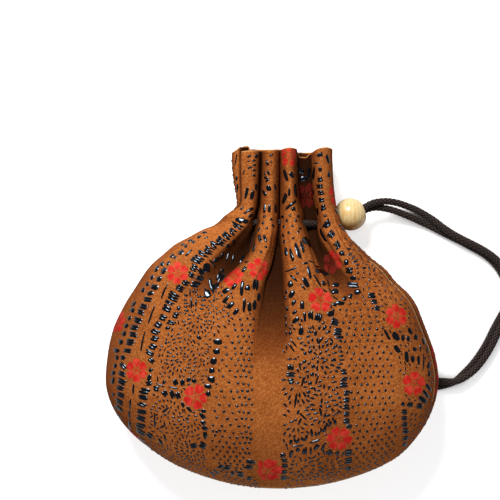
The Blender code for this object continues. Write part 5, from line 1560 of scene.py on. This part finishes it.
frontClusters = (
    # strokes side by side: place on the picture, the way they point, length and width of the whole
    (236.8, 226, -30, 12, 5), (231.5, 231, -35, 8, 5), (225.5, 235.5, -30, 10, 5.4),
    (219.5, 240.5, -35, 11, 6.8), (213.5, 244.7, -30, 9.5, 5.4), (208, 249.7, -28, 11, 6.4),
    (202, 253.5, -25, 12.5, 4.8), (197, 260, -30, 12, 7.8), (194, 267.7, -30, 8, 6.8),
    (191.5, 275, -35, 7, 5.2), (185, 282.5, -25, 7.4, 5.2), (179.5, 288, -30, 9.4, 6.4),
    (172.5, 296.3, -30, 12.4, 8.2), (169, 302.7, -25, 10, 3.8), (166.5, 308.4, -32, 9.6, 6.2),
    (163, 317.6, -25, 7.4, 6), (201.4, 271.7, -60, 9, 4.6), (199.5, 278.4, -25, 8.5, 4.8),
    (195.6, 284.8, -15, 9, 6.2), (220.5, 277.2, 65, 9.4, 7.2), (256, 285.4, 85, 11, 5.8),
    (175.5, 315.2, -20, 6.8, 5.8), (171.5, 322.8, -15, 10, 4.2), (157.9, 324.7, -30, 7.6, 6.2),
    (155, 331.7, -25, 8.4, 5.2), (154.5, 338.7, -15, 7.6, 5.4), (152.6, 346.7, -25, 8.4, 5.7),
    (150.2, 353.3, -30, 10, 4.4), (151.5, 360.8, -40, 7.4, 4.6), (148.5, 383.3, 20, 6.6, 4.8),
    (144.7, 391, -10, 11, 6.2), (143.2, 397.7, -5, 9.4, 4.8), (142, 404.6, -20, 10.4, 4.4),
    (141.5, 411.7, -5, 10, 4.4), (141, 418.6, -20, 9.4, 5.2), (140.2, 426, -15, 9.4, 5.2),
    (140.2, 432.4, -25, 10, 4.4), (140.8, 438.4, -25, 10, 4), (145.5, 443.6, -25, 12, 3.8),
    (148.8, 435.6, -40, 7.4, 5.2), (147.5, 299.3, -10, 8.6, 4.8), (143.6, 306.5, -15, 8.4, 5.2),
    (140.6, 312.4, -20, 7.4, 5.2), (137.6, 320.6, -20, 8.4, 5.8), (134.6, 327.6, -10, 7.4, 5.2),
    (132.6, 334.6, -10, 9, 5.2), (130, 342, -5, 9, 6.6), (126.9, 350.6, -5, 8.4, 4.4),
    (122.6, 365.6, -50, 8.4, 4.6), (121.6, 373.6, -20, 7.6, 4.8), (121.2, 381.6, -25, 9.4, 5.8),
    (119.9, 387.9, -20, 8.6, 4.6), (119.8, 394.7, -20, 9.4, 4.6), (118.9, 401.6, -28, 9.4, 4.6),
    (156, 388.6, -10, 6.4, 5.4), (164.5, 393.2, -50, 6.6, 5.2), (172, 394.6, -65, 8.4, 4.6),
    (178, 396.3, -70, 7.6, 4.6), (175.5, 382.2, -70, 7.4, 4.8), (182.5, 382.6, -80, 7.4, 4.6),
    (202.5, 445, -30, 7.4, 6.2), (193, 446, 15, 7.4, 5), (227.5, 467.6, -5, 7.4, 5),
    (240.5, 474.6, 0, 8, 6), (250.5, 462, -8, 10, 4), (249, 467, -10, 6.6, 4.2), (249, 472.4, 5, 6.6, 4.2),
    (249.5, 478.6, 10, 6.6, 4), (320, 179.5, 20, 6.4, 5), (319, 186.5, 0, 7, 4.4), (320, 193, 5, 6.6, 4.8),
    (321, 200, 0, 6.6, 4.6), (323.5, 207.5, 15, 7, 5.8), (327.7, 224, 42, 10.5, 6.2),
    (331.7, 234, 52, 10, 6.4), (337.5, 245, 40, 9, 7), (349.5, 270.5, 0, 7.4, 6), (353, 285, -5, 12, 5.4),
    (310.8, 315.7, 92, 9, 5.4), (319, 317.5, 70, 8.6, 7), (335, 321.7, -20, 8, 7),
    (338, 331.6, 0, 8.2, 7.4), (372, 295, 0, 8, 5.4), (374.5, 301.6, 0, 7, 4.4), (377, 308, -10, 6, 5),
    (290.4, 367.4, 88, 6, 6.2), (291.8, 374.6, -5, 9.4, 4.8), (291.2, 381.2, 20, 6.4, 5.6),
    (344, 371.8, 0, 6.4, 5.4), (344.5, 379, -5, 7.4, 4.4), (344.5, 385, 0, 7.4, 5.4),
    (346.3, 393, -10, 6.2, 5.4), (346.3, 400, 0, 7, 5.4), (347, 407, -8, 6.6, 5.4), (346.5, 414, 0, 7, 5),
    (346.6, 421, 0, 7.4, 5.4), (349.4, 426.4, -5, 5.8, 4), (348.5, 452.6, 10, 7.4, 6.2),
    (348.3, 461, 10, 7.4, 6.4), (348.5, 468.6, -10, 6.6, 4), (305, 451.3, 85, 7.4, 4.6),
    (329.7, 452.5, 30, 6.4, 5), (283, 455, 0, 6, 4), (284.2, 460.4, 0, 6.6, 4), (284.6, 466, 0, 6.4, 4.2),
    (284.2, 472, 5, 6.4, 4.2), (283.7, 478, 0, 6.4, 4.2), (410.5, 404.6, 80, 6, 5.4),
    (404.7, 412, 0, 6.4, 4.8), (405.2, 418.2, 0, 5.8, 4.4), (405.6, 424.6, 0, 6.4, 4.8),
    (405.6, 431.2, -5, 6.4, 5.2), (406, 438.7, 0, 5.8, 4.4), (405.8, 445, -10, 5.6, 4),
    (419.6, 406, 0, 7.4, 5.2))
frontDots = (
    # small dots on the second and third ridge
    (263.8, 216.5), (271.5, 219.5), (262.8, 223), (266.7, 228), (273.6, 226), (259, 229.5), (290, 215.5),
    (298.7, 216.3), (286.7, 220.8), (296, 220.7), (281.6, 217), (283.5, 226.5), (292.5, 226),
    (300.4, 228.6), (288.5, 232.6), (298.5, 231.7), (293, 237.8), (282.6, 235.5), (300.5, 240.5),
    (284, 241.5), (266, 247), (261, 252), (341, 225), (343, 228.5))
rosettes = (
    # the paths they lie between, their size and their middles on the picture
    ("inner", "beads", 1.08, ((198, 318), (181, 362), (187, 419), (166, 343), (165, 415), (190, 450),
                              (214, 300))),
    ("bareRight", "rightBars", 1.32, ((318, 357), (302, 384), (323, 405), (302, 469), (323, 469), (316, 331),
                                      (296, 420))))
frontSeeds = (
    # the paths they lie between, from and to along the pouch, how far apart
    ("seedLeft", "seedRight", -0.018, 0.034, 0.00272), ("seedLeft", "seedRight", -0.054, -0.018, 0.00235),
    ("rightBars", "rightSeedEdge", -0.05, 0.036, 0.00285))
frontFillers = (
    # the paths they lie between, from and to along the pouch, tries, kinds of stroke, gap round each
    ("inner", "beads", -0.058, 0.030, 1800, ("fine", "fine", "fineBar"), 0.0004),
    ("bareRight", "rightBars", -0.058, 0.024, 1300, ("short", "short", "fine"), 0.00058),
    ("farBars", "seam", -0.058, 0.060, 1500, ("fine",), 0.00075),
    ("ridge", "seam", 0.024, 0.056, 800, ("fine",), 0.0008))
seamColumns = 8  # how far inside the right seam the outermost path runs


def dressFront():
    pattern = Pattern(front)
    rows, columns = front.points.shape[:2]
    paths = {name: [pattern.find(*place) for place in places] for name, places in frontPaths.items()}
    paths["seam"] = [(columns - seamColumns, row) for row in (0, rows - 1)]
    for px, py, *flower in frontFlowers:
        pattern.flower(*pattern.find(px, py), *flower)
    for mark in frontMarks:
        pattern.onPicture(*mark)
    for mark in frontClusters:
        pattern.onPicture(*mark, count=2 if mark[4] < placedRules["wideCluster"] else 3)
    for px, py in frontDots:
        pattern.onPicture(px, py, shaker.uniform(*placedRules["dotTurn"]), *placedRules["dot"])
    for name, kind, step in frontStripes:
        pattern.stripe(paths[name], kind, step)
    for left, right, size, places in rosettes:
        for index, place in enumerate(places):
            pattern.rosette(index, *pattern.find(*place), paths[left], paths[right], size)
    for left, right, *field in frontSeeds:
        pattern.seeds(paths[left], paths[right], *field)
    for left, right, *field in frontFillers:
        pattern.filler(paths[left], paths[right], *field)
    return pattern


# ---- back pattern: the same print, laid out by shares of the width
backStripes = (
    # share of the width, kind of mark, step
    (0.06, "shortBar", 0.0031), (0.11, "bar", 0.0030), (0.155, "thinLine", 0.0094), (0.205, "pair", 0.00315),
    (0.25, "bar", 0.0033), (0.40, "blob", 0.0037), (0.52, "bar", 0.0032), (0.60, "bar", 0.0032),
    (0.745, "trio", 0.0032), (0.86, "pair", 0.0031), (0.91, "thinLine", 0.0094), (0.95, "shortBar", 0.0031))
backFlowers = (
    # share of the width, distance along from the widest line
    (0.155, 0.004), (0.33, 0.020), (0.33, -0.022), (0.155, -0.034), (0.46, 0.032), (0.66, 0.036),
    (0.46, -0.044), (0.68, -0.018), (0.68, 0.010), (0.90, -0.010), (0.86, 0.026), (0.35, 0.058),
    (0.52, 0.078), (0.66, 0.064), (0.80, 0.084), (0.20, 0.076))
backFlower = {"size": 0.0050, "turn": 0.4}
backEdgeFlowers = ((435, 358, 0.0052, 0.2, 5), (436.5, 384, 0.0050, 0.5, 5))
backMarks = (
    # what the camera sees of the back, on the first ridge
    (232.5, 152.5, 10, 4.5, 3), (235.5, 160, 80, 14, 1.4), (238, 166, 90, 8, 2.6), (236, 178.5, 90, 6, 2),
    (237, 188, 88, 8, 2))
backRosettes = (
    # from and to as shares of the width, their places along
    (0.25, 0.40, (-0.046, -0.033, -0.012, -0.002, 0.010)),
    (0.60, 0.745, (-0.044, -0.032, -0.006, 0.002, 0.024)))
backRosetteShares = (0.3, 0.7)
backSeeds = ((0.41, 0.51), (0.755, 0.85))
backFillers = ((0.26, 0.39, 1500), (0.61, 0.735, 1500), (0.0, 0.05, 300), (0.96, 1, 300))
backFields = {"seeds": (-0.056, 0.070, 0.00305), "fillers": (-0.056, 0.060), "gap": 0.0004,
              "kinds": ("fine", "fine", "fineBar"), "edgeRows": (4, 5), "pathPlaces": 9}


def dressBack():
    pattern = Pattern(back)
    rows, columns = back.points.shape[:2]
    below, above = backFields["edgeRows"]

    def path(share):
        return [(share * (columns - 1), row)
                for row in np.linspace(below, rows - above, backFields["pathPlaces"])]

    for index, (share, along) in enumerate(backFlowers):
        pattern.flower(share * (columns - 1), back.rowAt(along), backFlower["size"], backFlower["turn"] * index,
                       6 - index % 2)
    for px, py, *flower in backEdgeFlowers:
        pattern.flower(*pattern.find(px, py), *flower)
    for mark in backMarks:
        pattern.onPicture(*mark)
    for share, kind, step in backStripes:
        pattern.stripe(path(share), kind, step)
    for low, high, places in backRosettes:
        for index, along in enumerate(places):
            share = mix(low, high, backRosetteShares[index % 2])
            pattern.rosette(index, share * (columns - 1), back.rowAt(along), path(low), path(high))
    for low, high in backSeeds:
        pattern.seeds(path(low), path(high), *backFields["seeds"])
    for low, high, count in backFillers:
        pattern.filler(path(low), path(high), *backFields["fillers"], count, backFields["kinds"],
                       backFields["gap"])
    return pattern


for side, dress in (("front", dressFront), ("back", dressBack)):
    printed = dress()
    stampMarks(printed, side + "Lacquer")
    stampFlowers(printed, side + "Flowers")
print("pattern laid on both panels")


# ---- floor and light
studio = {"floor": 0.86, "floorRough": 0.9, "floorShine": 0.1, "floorGlow": 0.72, "air": 0.16,
          "floorSize": 3.0, "floorLevel": -0.0001,
          "closeShadow": 0.0075, "closeFrom": 0.30, "closeTo": 0.92, "closeSamples": 12,
          "lamps": (
              # name, place, size, power and colour; all look at the middle of the pouch
              ("keyLight", (-0.26, 0.77, 0.81), 0.40, 14.6, (1.0, 0.99, 0.97)),
              ("fillLight", (0.25, -0.85, 0.55), 0.80, 2.1, (0.95, 0.97, 1.0)))}


def floorFinish():
    material = bpy.data.materials.new("paleFloor")
    material.use_nodes = True
    tree = material.node_tree
    shader = tree.nodes["Principled BSDF"]
    shader.inputs["Base Color"].default_value = (*[studio["floor"]] * 3, 1)
    shader.inputs["Roughness"].default_value = studio["floorRough"]
    shader.inputs["Specular IOR Level"].default_value = studio["floorShine"]
    paint = Wire(tree)
    seen = paint.node("ShaderNodeLightPath")  # 1 where the camera looks straight at it
    # painted contact shadow: the floor's glow is darkened close under the pouch and the cord
    openness = paint.node("ShaderNodeAmbientOcclusion", {"samples": studio["closeSamples"]},
                          {"Distance": studio["closeShadow"]})
    shade = openness.within(studio["closeFrom"], studio["closeTo"]).tint((0.0, 0.0, 0.0), (1.0, 1.0, 1.0))
    glow = paint.node("ShaderNodeEmission", {}, {"Strength": seen * studio["floorGlow"], "Color": shade})
    both = paint.node("ShaderNodeAddShader", {}, {0: Wire(tree, shader.outputs[0]), 1: glow})
    tree.links.new(both.socket, tree.nodes["Material Output"].inputs["Surface"])
    return material


def makeStudio():
    data = bpy.data.meshes.new("studioFloor")
    size, level = studio["floorSize"], studio["floorLevel"]
    data.from_pydata([(-size, -size, level), (size, -size, level), (size, size, level), (-size, size, level)],
                     [], [(0, 1, 2, 3)])
    data.materials.append(floorFinish())
    addObject("studioFloor", data)
    for name, place, size, power, colour in studio["lamps"]:
        data = bpy.data.lights.new(name, "AREA")
        data.shape = "DISK"
        data.size, data.energy, data.color = size, power, colour
        lamp = addObject(name, data)
        lamp.location = place
        lamp.rotation_euler = (-Vector(place)).to_track_quat("-Z", "Y").to_euler()
    world = bpy.data.worlds.new("studioAir")
    bpy.context.scene.world = world
    world.use_nodes = True
    backdrop = world.node_tree.nodes["Background"]
    seen = Wire(world.node_tree).node("ShaderNodeLightPath")
    strength = studio["air"] + (1 - studio["air"]) * seen
    world.node_tree.links.new(strength.socket, backdrop.inputs["Strength"])
    backdrop.inputs["Color"].default_value = (1, 1, 1, 1)
    bpy.context.scene.view_settings.view_transform = "Standard"


makeStudio()
print("studio lit")
